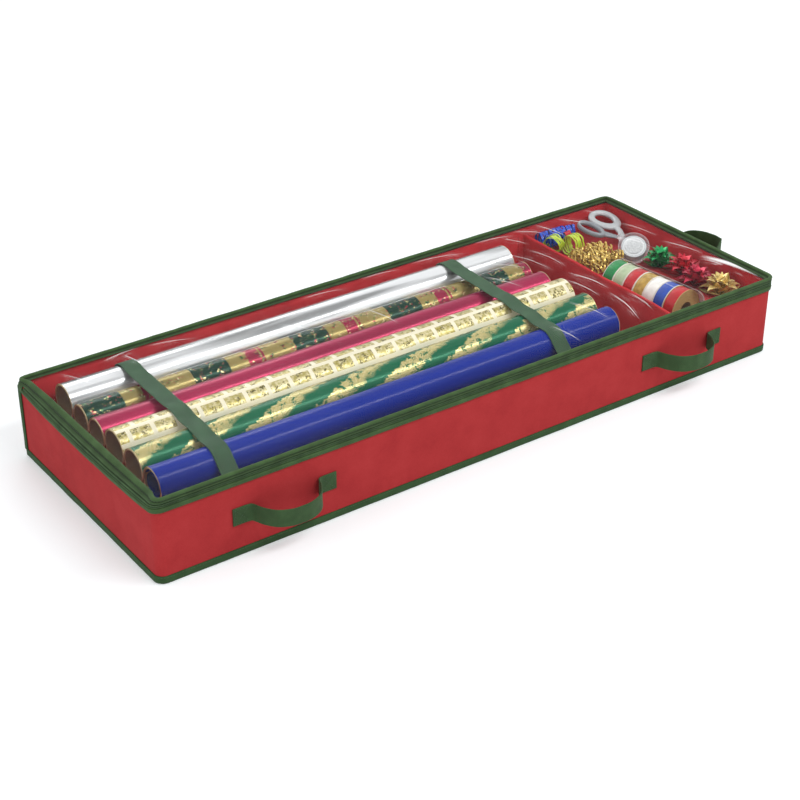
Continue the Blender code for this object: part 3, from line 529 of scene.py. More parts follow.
def star_bow_tree() -> Tree:
    """Build the tree that sets one loop of ribbon round and up a bow by the golden angle.

    Returns:
        The tree, with inputs Loop, Loops, Lowest tilt, Highest tilt, Smallest, Seed and Finish.
    """
    tree, given = open_tree("star_bow", {
        "Loop": "Object", "Loops": 30, "Lowest tilt": 0.05, "Highest tilt": 1.4, "Smallest": 0.6, "Seed": 5,
    })
    node = partial(add_node, tree)
    loop = node("GeometryNodeObjectInfo", {"Object": given["Loop"]})
    points = node("GeometryNodeMeshLine", {"Count": given["Loops"], "Offset": (0.0, 0.0, 0.0)})
    index = node("GeometryNodeInputIndex")
    share = node("ShaderNodeMath", {0: index, 1: given["Loops"]}, operation="DIVIDE")
    turn = node("ShaderNodeMath", {0: index, 1: GOLDEN_ANGLE}, operation="MULTIPLY")
    loose = node("FunctionNodeRandomValue", {2: -0.12, 3: 0.12, "Seed": given["Seed"]}, data_type="FLOAT")
    turned = node("ShaderNodeMath", {0: turn, 1: loose}, operation="ADD")
    rise = node("ShaderNodeMapRange", {0: share, 3: given["Lowest tilt"], 4: given["Highest tilt"]})
    lift = node("ShaderNodeMath", {0: rise, 1: loose}, operation="ADD")
    down = node("ShaderNodeMath", {0: 0.0, 1: lift}, operation="SUBTRACT")
    angles = node("ShaderNodeCombineXYZ", {0: 0.0, 1: down, 2: turned})
    way = node("FunctionNodeEulerToRotation", {0: angles})
    size = node("ShaderNodeMapRange", {0: share, 3: 1.0, 4: given["Smallest"]})
    copies = node("GeometryNodeInstanceOnPoints", {
        "Points": points, "Instance": loop.outputs["Geometry"], "Rotation": way, "Scale": size,
    })
    return close_tree(tree, copies, given["Finish"])


@dataclass(frozen=True)
class Finish:
    """A material by name, with its colours from deep to light and how rough it is."""

    name: str
    colour: str = "#808080"
    deep: str = "#606060"
    roughness: float = 0.6
    light: str = "#FFFFFF"

    def material(self) -> bpy.types.Material:
        """Give the material, made the first time that it is asked for.

        Returns:
            The material.
        """
        known = bpy.data.materials.get(self.name)
        if known:
            return known
        made = bpy.data.materials.new(self.name)
        tree = blank_tree(made)
        shader = add_node(tree, "ShaderNodeBsdfPrincipled", {"Roughness": self.roughness, **self.fixed()})
        add_node(tree, "ShaderNodeOutputMaterial", {"Surface": shader})
        self.dress(shader)
        made.diffuse_color = linear(self.colour)
        return made

    def fixed(self) -> dict[str, object]:
        """Give the shader's values that are the same all over."""
        return {}

    def dress(self, shader: Node) -> None:
        """Give the shader its pattern. A plain finish has fine grain only.

        Args:
            shader: The material's shader.
        """
        node = partial(add_node, shader.id_data)
        place = node("ShaderNodeTexCoord").outputs["Object"]
        grain = node("ShaderNodeTexNoise", {"Vector": place, "Scale": 400.0, "Detail": 4.0})
        node("ShaderNodeMix", {0: grain, 6: linear(self.deep), 7: linear(self.colour)},
             shader.inputs["Base Color"], data_type="RGBA")
        node("ShaderNodeBump", {"Height": grain, "Strength": 0.15, "Distance": 0.0002}, shader.inputs["Normal"])

    def stops(self, *places: float) -> list[tuple[float, Colour]]:
        """Set the finish's colours at two or three places of a ramp."""
        return list(zip(places, (linear(self.deep), linear(self.colour), linear(self.light))))


@dataclass(frozen=True)
class SpunbondPolypropylene(Finish):
    """Non-woven polypropylene, spun and spot-bonded: matte, cloudy, with a fine bonded dot grid."""

    cloud_mm: float = 45.0
    # The bonding dots are about 1 mm apart.
    dot_mm: float = 1.1

    def fixed(self) -> dict[str, object]:
        """Give the shader's values that are the same all over."""
        return {"Sheen Weight": 0.03, "Specular IOR Level": 0.15}

    def dress(self, shader: Node) -> None:
        """Clouds of colour, fibre grain and bonded dots.

        Args:
            shader: The material's shader.
        """
        node = partial(add_node, shader.id_data)
        place = node("ShaderNodeTexCoord").outputs["Object"]
        cloud = node("ShaderNodeTexNoise", {
            "Vector": place, "Scale": 1000 / self.cloud_mm, "Detail": 5.0, "Roughness": 0.6,
        })
        fibre = node("ShaderNodeTexNoise", {"Vector": place, "Scale": 550.0, "Detail": 3.0, "Distortion": 1.4})
        dots = node("ShaderNodeTexVoronoi", {"Vector": place, "Scale": 1000 / self.dot_mm, "Randomness": 0.25})
        shade = node("ShaderNodeMix", {0: 0.35, 2: cloud, 3: fibre}, data_type="FLOAT")
        node("ShaderNodeValToRGB", {"Fac": shade}, shader.inputs["Base Color"], stops=self.stops(0.34, 0.5, 0.68))
        height = node("ShaderNodeMix", {0: 0.5, 2: fibre, 3: dots}, data_type="FLOAT")
        node("ShaderNodeBump", {"Height": height, "Strength": 0.35, "Distance": 0.0004}, shader.inputs["Normal"])


@dataclass(frozen=True)
class WovenPolyester(Finish):
    """Woven polyester tape or webbing: ribs of thread across its length, that catch the light one by one."""

    # Ribs of the real tape are 0.8 mm apart; drawn 1.6 mm so that they show in the render.
    rib_mm: float = 1.6

    def fixed(self) -> dict[str, object]:
        """Give the shader's values that are the same all over."""
        return {"Sheen Weight": 0.04, "Specular IOR Level": 0.3}

    def dress(self, shader: Node) -> None:
        """Crossed ribs of thread, darker between, with uneven wear and with painted shade in the folds and grooves.

        Args:
            shader: The material's shader.
        """
        node = partial(add_node, shader.id_data)
        source = node("ShaderNodeTexCoord").outputs
        ribs = []
        for part in node("ShaderNodeSeparateXYZ", {0: source["UV"]}).outputs[:2]:
            turns = node("ShaderNodeMath", {0: part, 1: math.tau * 1000 / self.rib_mm}, operation="MULTIPLY")
            ribs.append(node("ShaderNodeMath", {0: turns}, operation="SINE"))
        weave = node("ShaderNodeMath", {0: ribs[0], 1: ribs[1]}, operation="MULTIPLY")
        level = node("ShaderNodeMapRange", {0: weave, 1: -1.0, 2: 1.0, 3: 0.2, 4: 0.8})
        cloud = node("ShaderNodeTexNoise", {"Vector": source["Object"], "Scale": 60.0, "Detail": 4.0})
        shade = node("ShaderNodeMix", {0: 0.5, 2: level, 3: cloud}, data_type="FLOAT")
        colours = node("ShaderNodeValToRGB", {"Fac": shade}, stops=self.stops(0.25, 0.5, 0.8))
        # Painted shade: the colour darkens to 22 % where the mesh marks a fold or groove.
        fold = node("ShaderNodeAttribute", attribute_name="painted_fold_shade").outputs["Fac"]
        painted_fold_shade_factor = node("ShaderNodeMapRange", {0: fold, 3: 1.0, 4: 0.22})
        node("ShaderNodeVectorMath", {0: colours, "Scale": painted_fold_shade_factor}, shader.inputs["Base Color"], operation="SCALE")
        node("ShaderNodeBump", {"Height": level, "Strength": 0.5, "Distance": 0.0004}, shader.inputs["Normal"])


@dataclass(frozen=True)
class ClearVinyl(Finish):
    """Clear calendered PVC sheet: glossy, nearly unseen face on, with white lines along its creases that are partly its
    stress-whitening and partly painted highlight.
    """

    def fixed(self) -> dict[str, object]:
        """Give the shader's values that are the same all over."""
        return {"Base Color": linear(self.colour), "IOR": 1.53, "Coat Weight": 0.5}

    def dress(self, shader: Node) -> None:
        """See-through but for its gloss and its creases.

        Args:
            shader: The material's shader.
        """
        node = partial(add_node, shader.id_data)
        place = node("ShaderNodeTexCoord").outputs["Object"]
        # Painted sheen: towards grazing views the sheet covers more, so more of its white shows beside its gloss.
        facing = node("ShaderNodeLayerWeight", {"Blend": 0.2}).outputs["Facing"]
        cover_with_painted_sheen = node("ShaderNodeMapRange", {0: facing, 1: 0.5, 2: 1.0, 3: 0.008, 4: 0.10})
        # Each point knows how far aside of its crease it lies, how far along, and how white that crease is. The white
        # is partly the sheet's stress-whitening and partly painted highlight.
        crease = node("ShaderNodeAttribute", attribute_name="crease").outputs["Vector"]
        parts = node("ShaderNodeSeparateXYZ", {0: crease}).outputs
        aside = node("ShaderNodeMath", {0: parts[0]}, operation="ABSOLUTE")
        line = node("ShaderNodeMapRange", {0: aside, 1: 0.0, 2: 0.0011, 3: 1.0, 4: 0.0})
        drawn = node("ShaderNodeVectorMath", {0: crease, 1: (650.0, 22.0, 0.0)}, operation="MULTIPLY")
        fan = node("ShaderNodeTexNoise", {"Vector": drawn, "Scale": 1.0, "Detail": 2.0})
        streak = node("ShaderNodeMapRange", {0: fan, 1: 0.56, 2: 0.70, 3: 0.0, 4: 0.55})
        either = node("ShaderNodeMath", {0: line, 1: streak}, operation="MAXIMUM")
        # Painted highlight along the creases, together with the sheet's own whitening.
        white = node("ShaderNodeMath", {0: either, 1: parts[2]}, operation="MULTIPLY")
        node("ShaderNodeMath", {0: cover_with_painted_sheen, 1: white}, shader.inputs["Alpha"], operation="ADD", use_clamp=True)
        dust = node("ShaderNodeTexNoise", {"Vector": place, "Scale": 30.0, "Detail": 3.0})
        node("ShaderNodeMapRange", {0: dust, 3: 0.05, 4: 0.16}, shader.inputs["Roughness"])


@dataclass(frozen=True)
class PaperBoard(Finish):
    """Paperboard: matte, with short fibres 1.5 mm long pressed flat."""

    def dress(self, shader: Node) -> None:
        """Fibres and a faint cloud.

        Args:
            shader: The material's shader.
        """
        node = partial(add_node, shader.id_data)
        place = node("ShaderNodeTexCoord").outputs["Object"]
        drawn = node("ShaderNodeMapping", {"Vector": place, "Scale": (1.0, 2.6, 2.6)})
        fibre = node("ShaderNodeTexNoise", {"Vector": drawn, "Scale": 1000 / 1.5, "Detail": 4.0, "Distortion": 0.8})
        node("ShaderNodeValToRGB", {"Fac": fibre}, shader.inputs["Base Color"], stops=self.stops(0.3, 0.65))
        node("ShaderNodeBump", {"Height": fibre, "Strength": 0.2, "Distance": 0.0002}, shader.inputs["Normal"])


class Print(Enum):
    """Which generic pattern a wrapping paper has."""

    PLAIN = "plain"
    DIAGONAL = "diagonal"
    TILES = "tiles"
    BLOCKS = "blocks"


@dataclass(frozen=True)
class CoatedPaper(Finish):
    """Coated or foil wrapping paper, printed and wound: long soft highlights, small dents, a printed pattern."""

    second: str = "#B7B05C"
    pattern: Print = Print.PLAIN
    metal: float = 0.0
    # How far the lengthwise bands darken the colour: the paper's own streaks, and painted reflection where it is large.
    streak: float = 0.12
    gloss: float = 0.4

    def fixed(self) -> dict[str, object]:
        """Give the shader's values that are the same all over."""
        return {"Metallic": self.metal, "Specular IOR Level": self.gloss}

    def dress(self, shader: Node) -> None:
        """The print, with lengthwise streaks that are partly the paper's own and partly painted reflection, and its
        small dents.

        Args:
            shader: The material's shader.
        """
        node = partial(add_node, shader.id_data)
        spread_out = node("ShaderNodeTexCoord").outputs["UV"]
        draw = {Print.PLAIN: self.plain, Print.DIAGONAL: self.diagonal, Print.TILES: self.tiles,
                Print.BLOCKS: self.blocks}[self.pattern]
        colour = draw(spread_out, shader)
        # Bands along the roll, about 15 mm apart round it, darken the colour: faint ones are the wound paper's own
        # streaks, and the strong ones on the foils are painted reflections.
        drawn = node("ShaderNodeMapping", {"Vector": spread_out, "Scale": (3.0, 65.0, 1.0)})
        cloud = node("ShaderNodeTexNoise", {"Vector": drawn, "Scale": 1.0, "Detail": 2.0})
        shade = node("ShaderNodeMapRange", {0: cloud, 1: 0.36, 2: 0.58, 3: 1 - self.streak, 4: 1.0})
        node("ShaderNodeVectorMath", {0: colour, "Scale": shade}, shader.inputs["Base Color"], operation="SCALE")
        dented = node("ShaderNodeMapping", {"Vector": spread_out, "Scale": (16.0, 34.0, 1.0)})
        dents = node("ShaderNodeTexNoise", {"Vector": dented, "Scale": 1.0, "Detail": 2.0})
        node("ShaderNodeBump", {"Height": dents, "Strength": 0.25, "Distance": 0.0012}, shader.inputs["Normal"])

    def plain(self, place: Socket, shader: Node) -> Node:
        """Draw one colour, with fine grain.

        Args:
            place: The paper's map, in metres.
            shader: The material's shader.

        Returns:
            The node that gives the colour.
        """
        node = partial(add_node, shader.id_data)
        fine = node("ShaderNodeTexNoise", {"Vector": place, "Scale": 500.0, "Detail": 2.0})
        return node("ShaderNodeMix", {0: fine, 6: linear(self.deep), 7: linear(self.colour)}, data_type="RGBA")

    def specks(self, place: Socket, shader: Node) -> tuple[Node, Node]:
        """Scatter specks about 2 mm across, in clusters.

        Args:
            place: The paper's map, in metres.
            shader: The material's shader.

        Returns:
            The cells that the specks lie in, and where they are.
        """
        node = partial(add_node, shader.id_data)
        cells = node("ShaderNodeTexVoronoi", {"Vector": place, "Scale": 420.0, "Randomness": 0.85})
        cluster = node("ShaderNodeTexNoise", {"Vector": place, "Scale": 110.0, "Detail": 3.0})
        reach = node("ShaderNodeMapRange", {0: cluster, 1: 0.40, 2: 0.64, 3: 0.0, 4: 0.62})
        return cells, node("ShaderNodeMath", {0: cells, 1: reach}, operation="LESS_THAN")

    def diagonal(self, place: Socket, shader: Node) -> Node:
        """Draw slanting gilt bands 105 mm apart along the roll, stepped by the print's 2.6 mm cells.

        Args:
            place: The paper's map, in metres.
            shader: The material's shader.

        Returns:
            The node that gives the colour.
        """
        node = partial(add_node, shader.id_data)
        _, dots = self.specks(place, shader)
        snapped = node("ShaderNodeVectorMath", {0: place, 1: (0.0026, 0.0026, 0.0026)}, operation="SNAP")
        step = node("ShaderNodeSeparateXYZ", {0: snapped}).outputs
        slant = node("ShaderNodeMath", {0: step[1], 1: 2.4, 2: step[0]}, operation="MULTIPLY_ADD")
        ragged = node("ShaderNodeTexNoise", {"Vector": snapped, "Scale": 90.0, "Detail": 4.0})
        torn = node("ShaderNodeMath", {0: ragged, 1: 0.045, 2: slant}, operation="MULTIPLY_ADD")
        share = node("ShaderNodeMath", {0: torn, 1: 0.105}, operation="DIVIDE")
        part = node("ShaderNodeMath", {0: share}, operation="FRACT")
        gold = node("ShaderNodeMath", {0: part, 1: 0.56}, operation="LESS_THAN")
        cells = node("ShaderNodeTexVoronoi", {"Vector": place, "Scale": 380.0, "Randomness": 0.0})
        fade = node("ShaderNodeMapRange", {0: part, 1: 0.30, 2: 0.56, 3: 0.0, 4: 0.5})
        rows = node("ShaderNodeMath", {0: cells, 1: fade}, operation="LESS_THAN")
        away = node("ShaderNodeMath", {0: dots, 1: rows}, operation="MAXIMUM")
        kept = node("ShaderNodeMath", {0: 1.0, 1: away}, operation="SUBTRACT")
        mask = node("ShaderNodeMath", {0: gold, 1: kept}, operation="MULTIPLY")
        # The gilt glints in grains about 1 mm across.
        grains = node("ShaderNodeTexNoise", {"Vector": place, "Scale": 620.0, "Detail": 2.0})
        glint = node("ShaderNodeMapRange", {0: grains, 1: 0.42, 2: 0.66})
        gilt = node("ShaderNodeMix", {0: glint, 6: linear(self.second), 7: linear(self.light)}, data_type="RGBA")
        node("ShaderNodeMapRange", {0: mask, 3: self.metal * 0.5, 4: self.metal}, shader.inputs["Metallic"])
        return node("ShaderNodeMix", {0: mask, 6: linear(self.colour), 7: gilt}, data_type="RGBA")

    def tiles(self, place: Socket, shader: Node) -> Node:
        """Draw tiles 34 mm by 22.5 mm with pale lines between, more and less gilt by turns.

        Args:
            place: The paper's map, in metres.
            shader: The material's shader.

        Returns:
            The node that gives the colour.
        """
        node = partial(add_node, shader.id_data)
        _, dots = self.specks(place, shader)
        tile = node("ShaderNodeTexBrick", {
            "Vector": place, "Color1": (1.0, 1.0, 1.0, 1.0), "Color2": (0.0, 0.0, 0.0, 1.0),
            "Mortar": (0.5, 0.5, 0.5, 1.0), "Scale": 1.0, "Mortar Size": 0.0030, "Mortar Smooth": 0.0, "Bias": 0.0,
            "Brick Width": 0.034, "Row Height": 0.0225,
        }, offset=0.35).outputs
        inside = node("ShaderNodeMath", {0: tile["Fac"], 1: 0.5}, operation="LESS_THAN")
        gilt = node("ShaderNodeSeparateXYZ", {0: tile["Color"]})
        blot = node("ShaderNodeTexNoise", {"Vector": place, "Scale": 190.0, "Detail": 3.0})
        level = node("ShaderNodeMapRange", {0: blot, 1: 0.40, 2: 0.60, 3: 0.0, 4: 0.75})
        share = node("ShaderNodeMath", {0: gilt, 1: 0.3, 2: level}, operation="MULTIPLY_ADD", use_clamp=True)
        ink = node("ShaderNodeMix", {0: share, 6: linear(self.deep), 7: linear(self.second)}, data_type="RGBA")
        inked = node("ShaderNodeMix", {0: dots, 6: ink, 7: linear(self.light)}, data_type="RGBA")
        node("ShaderNodeMath", {0: inside, 1: self.metal}, shader.inputs["Metallic"], operation="MULTIPLY")
        return node("ShaderNodeMix", {0: inside, 6: linear(self.colour), 7: inked}, data_type="RGBA")

    def blocks(self, place: Socket, shader: Node) -> Node:
        """Draw blocks of dark green, gold, crimson and gold, repeated every 0.16 m along the roll.

        Args:
            place: The paper's map, in metres.
            shader: The material's shader.

        Returns:
            The node that gives the colour.
        """
        node = partial(add_node, shader.id_data)
        cells, dots = self.specks(place, shader)
        ground, ink, crimson = linear(self.colour), linear(self.second), linear("#8E2440")
        along = node("ShaderNodeSeparateXYZ", {0: place})
        share = node("ShaderNodeMath", {0: along, 1: 0.16}, operation="DIVIDE")
        part = node("ShaderNodeMath", {0: share}, operation="FRACT")
        block = node("ShaderNodeValToRGB", {"Fac": part}, interpolation="CONSTANT", stops=[
            (0.0, ink), (0.07, ground), (0.42, ink), (0.60, crimson), (0.72, ink), (0.74, crimson), (0.76, ink),
        ])
        choice = node("ShaderNodeSeparateXYZ", {0: cells.outputs["Color"]})
        many = node("ShaderNodeValToRGB", {"Fac": choice}, interpolation="CONSTANT", stops=[
            (0.0, ground), (0.35, linear("#A32B40")), (0.55, linear(self.light)), (0.8, linear("#3E6B35")),
        ])
        return node("ShaderNodeMix", {0: dots, 6: block, 7: many}, data_type="RGBA")


@dataclass(frozen=True)
class Metal(Finish):
    """Cast or stamped metal, plated: dark, softly reflecting, finely pitted."""

    def fixed(self) -> dict[str, object]:
        """Give the shader's values that are the same all over."""
        return {"Metallic": 1.0}


@dataclass(frozen=True)
class Plastic(Finish):
    """Moulded plastic: even colour, soft gloss, a faint moulded grain."""

    alpha: float = 1.0

    def fixed(self) -> dict[str, object]:
        """Give the shader's values that are the same all over."""
        return {"Alpha": self.alpha, "Coat Weight": 0.3}


@dataclass(frozen=True)
class SatinRibbon(Finish):
    """Satin or foil ribbon: a tight smooth weave with a strong sheen."""

    metal: float = 0.0
    # The real threads are 0.3 mm apart; drawn 0.7 mm so that they show.
    thread_mm: float = 0.7

    def fixed(self) -> dict[str, object]:
        """Give the shader's values that are the same all over."""
        return {"Metallic": self.metal, "Specular IOR Level": 0.35, "Coat Weight": 0.15, "Coat Roughness": 0.15}

    def dress(self, shader: Node) -> None:
        """Fine threads and a faint cloud.

        Args:
            shader: The material's shader.
        """
        node = partial(add_node, shader.id_data)
        place = node("ShaderNodeTexCoord").outputs["Object"]
        grain = node("ShaderNodeTexNoise", {"Vector": place, "Scale": 1000 / self.thread_mm, "Detail": 2.0})
        cloud = node("ShaderNodeTexNoise", {"Vector": place, "Scale": 120.0, "Detail": 2.0})
        shade = node("ShaderNodeMix", {0: 0.6, 2: grain, 3: cloud}, data_type="FLOAT")
        node("ShaderNodeValToRGB", {"Fac": shade}, shader.inputs["Base Color"], stops=self.stops(0.35, 0.6))
        node("ShaderNodeBump", {"Height": grain, "Strength": 0.15, "Distance": 0.0003}, shader.inputs["Normal"])


RED_FABRIC = SpunbondPolypropylene("spunbond_polypropylene_red", "#A92F31", "#9E292C", 0.9, "#B03537")
# The lining's red is drawn lighter than the outer fabric's: painted light for the inside of the box.
RED_LINING = SpunbondPolypropylene("spunbond_polypropylene_lining", "#C42C33", "#AE2229", 0.85, "#D0383D", 30.0)
GREEN_BINDING = WovenPolyester("woven_polyester_binding_green", "#38512B", "#293E1F", 0.85, "#4E6E40")
GREEN_ZIP = WovenPolyester("woven_zip_tape_green", "#395430", "#14210F", 0.85, "#577549", 1.2)
# A darker copy of the green binding for the base binding and the back corner tapes: painted shade, where they face away
# from the light.
GREEN_BINDING_PAINTED_SHADE = WovenPolyester("woven_polyester_binding_green_painted_shade", "#2C4A26", "#1F361B", 0.85, "#3A5A33")
GREEN_WEBBING = WovenPolyester("woven_polypropylene_webbing_green", "#304A28", "#23391D", 0.8, "#425F38")
GREEN_ELASTIC = WovenPolyester("woven_elastic_green", "#34523A", "#263F2A", 0.85, "#476A4C", 1.4)
GREEN_THREAD = Plastic("polyester_thread_green", "#3A5A36", "#2A4427", 0.6)
RED_THREAD = Plastic("polyester_thread_red", "#8C2A30", "#701F25")
GREEN_NYLON = Plastic("moulded_nylon_coil_green", "#2B4528", "#1B2E19", 0.45)
CLEAR_VINYL = ClearVinyl("calendered_pvc_clear", "#FFFFFF", "#F4F4F6", 0.08)
GREY_BOARD = PaperBoard("grey_chipboard", "#8C877F", "#6F6A63", 0.9)
RED_CARD = PaperBoard("folding_boxboard_red", "#B0262D", "#981E25", 0.7)
CORE_CARD = PaperBoard("spiral_wound_kraft_core", "#D8CBA0", "#B7A679", 0.9)
CORE_INSIDE = PaperBoard("kraft_core_inside", "#A29672", "#82785A", 0.95)
GUNMETAL = Metal("gunmetal_plated_zinc", "#4A4B4D", "#333436", 0.38)
STEEL = Metal("ground_stainless_steel", "#B9BCC0", "#8E9297", 0.25)
GRIP_PALE = Plastic("moulded_abs_pale_grey", "#B9BDBF", "#A4A9AC", 0.4)
GRIP_GREY = Plastic("moulded_abs_slate_grey", "#8B9196", "#767C82", 0.4)
CLEAR_STYRENE = Plastic("moulded_clear_polystyrene", "#F2ECEE", "#E4DDE0", 0.12, alpha=0.30)
# The sleeve is drawn half opaque and pale: a painted sheen on the clear sheet.
CLEAR_SLEEVE = Plastic("vacuum_formed_clear_sleeve", "#E4E0DD", "#D2CDCA", 0.12, alpha=0.52)
TAPE_FILM = Plastic("wound_polypropylene_tape", "#B9BEC1", "#A3A9AD", 0.2, alpha=0.9)
TAPE_EDGE = Plastic("wound_tape_edge_white", "#E6E8E9", "#CDD1D3", 0.3)
FOIL_CARD = Metal("metallised_label_card", "#F4F5F5", "#8D9295", 0.35)
KRAFT_GLITTER = PaperBoard("glittered_gold_card", "#C9B176", "#8E7A42", 0.45)
WHITE_CARD = PaperBoard("coated_white_card", "#E8E4DA", "#CFC9BC", 0.6)


@dataclass(frozen=True)
class Plan:
    """The box's outline from above, which every band round it follows."""

    half_x: float = 0.5125
    half_y: float = 0.184
    front_round: float = 0.012
    back_round: float = 0.002
    step: float = 0.008
    arc: int = 6

    def loop(self, inset: float = 0.0) -> tuple[np.ndarray, np.ndarray]:
        """Walk round the outline counterclockwise from its back left corner.

        Args:
            inset: How far inside the outline it runs, or outside where it is negative.

        Returns:
            The points and the outward directions, the same number for every inset.
        """
        corners = ((-1, 1, self.back_round, 90), (-1, -1, self.front_round, 180), (1, -1, self.front_round, 270),
                   (1, 1, self.back_round, 0))
        arcs, ways = [], []
        for side_x, side_y, radius, first in corners:
            curve = max(radius - inset, 0.0004)
            angles = np.radians(np.linspace(first, first + 90, self.arc + 1))
            ways.append(spread(np.cos(angles), np.sin(angles)))
            middle = np.array([side_x * (self.half_x - inset - curve), side_y * (self.half_y - inset - curve)])
            arcs.append(middle + curve * ways[-1])
        points, outward = [], []
        for place, span in enumerate([2 * self.half_y, 2 * self.half_x] * 2):
            share = np.linspace(0, 1, round(span / self.step) + 1)[1:-1, None]
            points += [arcs[place], arcs[place][-1] + (arcs[(place + 1) % 4][0] - arcs[place][-1]) * share]
            outward += [ways[place], np.repeat(ways[place][-1:], len(share), axis=0)]
        return np.vstack(points), np.vstack(outward)

    def rail(self, inset: float, height: float) -> np.ndarray:
        """Give the outline's points at one inset and one height."""
        return spread(*self.loop(inset)[0].T, height)

    def sweep(self, profile: Section) -> np.ndarray:
        """Carry a profile of insets and heights round the outline, a row for each place on it."""
        return np.stack([self.rail(place[0], place[1]) for place in profile], axis=1)

    def lengths(self) -> np.ndarray:
        """How far round the outline each place is, with the whole length last."""
        return travel(self.loop()[0])

    def part(self, back_limit: float) -> slice:
        """The places from the left side round the front to the right side, up to a y at the back."""
        inside = np.nonzero(self.loop()[0][:, 1] <= back_limit)[0]
        return slice(int(inside[0]), int(inside[-1]) + 1)


PLAN = Plan()
ROWS = rows_along_path_tree()
CURL = curl_tree()
BOW = star_bow_tree()


def slump(points: np.ndarray) -> np.ndarray:
    """Let the soft rim lean and hang at the left end, between its stiffer corners, and round its back corners.

    Args:
        points: Places on the rim, with their coordinates along the last axis.

    Returns:
        The places after it.
    """
    x, y, z = points[..., 0], points[..., 1], points[..., 2]
    moved = points.copy()
    near_end = ease(-x, 0.492, 0.5105)
    hang = near_end * np.cos(np.clip(y / PLAN.half_y, -1, 1) * math.pi / 2) ** 0.7
    # From the zip's lower edge, 0, to the frame's top, 1.
    rise = np.clip((z - 0.1010) / 0.0210, 0, 1)
    moved[..., 2] -= 0.0075 * hang * (1 - rise)
    moved[..., 0] -= 0.0030 * hang * np.sin(rise * math.pi)
    moved[..., 0] += 0.0080 * near_end * ease(PLAN.half_y - np.abs(y), -0.004, 0.02) * ease(rise, 0.45, 1.0)
    corner = ease(y, 0.176, 0.187) * ease(np.abs(x), 0.505, 0.516) * rise
    moved[..., 1] -= 0.0030 * corner
    moved[..., 0] -= np.sign(x) * 0.0030 * corner
    # The back edge has sunk a little, more so at the left.
    moved[..., 2] -= 0.0036 * rise * ease(y, 0.100, 0.186) * (1 - 0.75 * ease(x, -0.5, 0.5))
    return moved


def stitches(
    name: str, paths: Sequence[np.ndarray], slot: str, body: str = "tray", finish: Finish = GREEN_THREAD,
    closed: bool = False,
) -> None:
    """Sew rows of stitches.

    Args:
        name: The piece's name.
        paths: The rows, each a list of points.
        slot: The record's slot.
        body: The body that they ride on.
        finish: The thread.
        closed: Whether each row comes back to its start.
    """
    # Stitches are 3 mm long with a gap of 1 mm, of 0.6 mm thread, as a sewing machine leaves them.
    values = {"Pitch": 0.004, "Long": 0.003, "Wide": 0.0006, "Deep": 0.0006, "Unevenness": 0.05}
    hand_in(grown(name, ROWS, values, finish, path_mesh(name + "_path", paths, closed)), slot, body=body)


def sewn_band(
    name: str, node: str, profile: Section, finish: Finish, puffs: Section, fat: float, body: str = "tray",
    soft: bool = True, back_limit: float = math.inf, crown: float = math.inf,
) -> None:
    """Sweep one closed tape round the box.

    Args:
        name: The piece's name.
        node: The CAD node that it stands for.
        profile: Its section, as insets, heights and how much painted fold shade each point gets.
        finish: What it is made of.
        puffs: How high, how far apart and which each unevenness of its outer face is.
        fat: The inset below which its points are on its outer face.
        body: The body that it rides on.
        soft: Whether it hangs at the left end with the rim.
        back_limit: The y that it stays inside.
        crown: The height above which its points are on its top, which is uneven too.
    """
    insets, heights, dark = np.array(profile).T
    grid = PLAN.sweep(profile)
    top = 0.00015 * waves(grid[:, 0], 0.02, 14)
    puff = sum(high * waves(grid[:, 0], apart, seed) for high, apart, seed in puffs)
    grid[..., :2] += PLAN.loop()[1][:, None, :] * (puff[:, None] * (insets < fat))[..., None]
    grid[..., 2] += (heights > crown) * top[:, None]
    grid[..., 1] = np.minimum(grid[..., 1], back_limit)
    mesher = Mesher().grid(slump(grid) if soft else grid, round_rows=True, round_columns=True, dark=dark,
                           along=PLAN.lengths(), across=travel(np.array(profile)[:, :2]))
    hand_in(mesher.piece(name, [finish], 50), "green_binding", node, body=body)


def zip_side(side: str, heights: Sequence[float], coil_height: float, body: str, shift: float) -> None:
    """Make one side of the zip, round the left side, the front and the right side: its tape and its coil.

    Args:
        side: Which side it is, lower or upper.
        heights: How high each point of the tape's section is.
        coil_height: How high the coil's middle is.
        body: The body that they ride on.
        shift: How far along its path the coil starts.
    """
    insets = (0.0004, -0.0005, -0.0006, -0.0020, -0.0022, -0.0022, -0.0020, -0.0006, -0.0005, 0.0004)
    profile = list(zip(insets, heights))
    # The columns marked 1, at the tape's edges against the box, get painted shade.
    mesher = Mesher().bar(slump(PLAN.sweep(profile)[PLAN.part(0.1715)]), across=travel(np.array(profile)),
                          dark=[1, 1, 1, 0, 0, 0, 0, 1, 1, 1])
    hand_in(mesher.piece(side + "_zip_tape", [GREEN_ZIP], 40), "green_zip_tape", side + "_zipper", body=body)
    path = slump(PLAN.rail(-0.0010, coil_height)[PLAN.part(0.170)])
    path[:, 1] -= shift
    # The links are 2 mm apart, as on a number 5 coil zip.
    values = {"Pitch": 0.002, "Long": 0.0011, "Wide": 0.0010, "Deep": 0.0011}
    name = side + "_zip_coil"
    hand_in(grown(name, ROWS, values, GREEN_NYLON, path_mesh(name + "_path", [path])), "green_zip_tape", body=body)


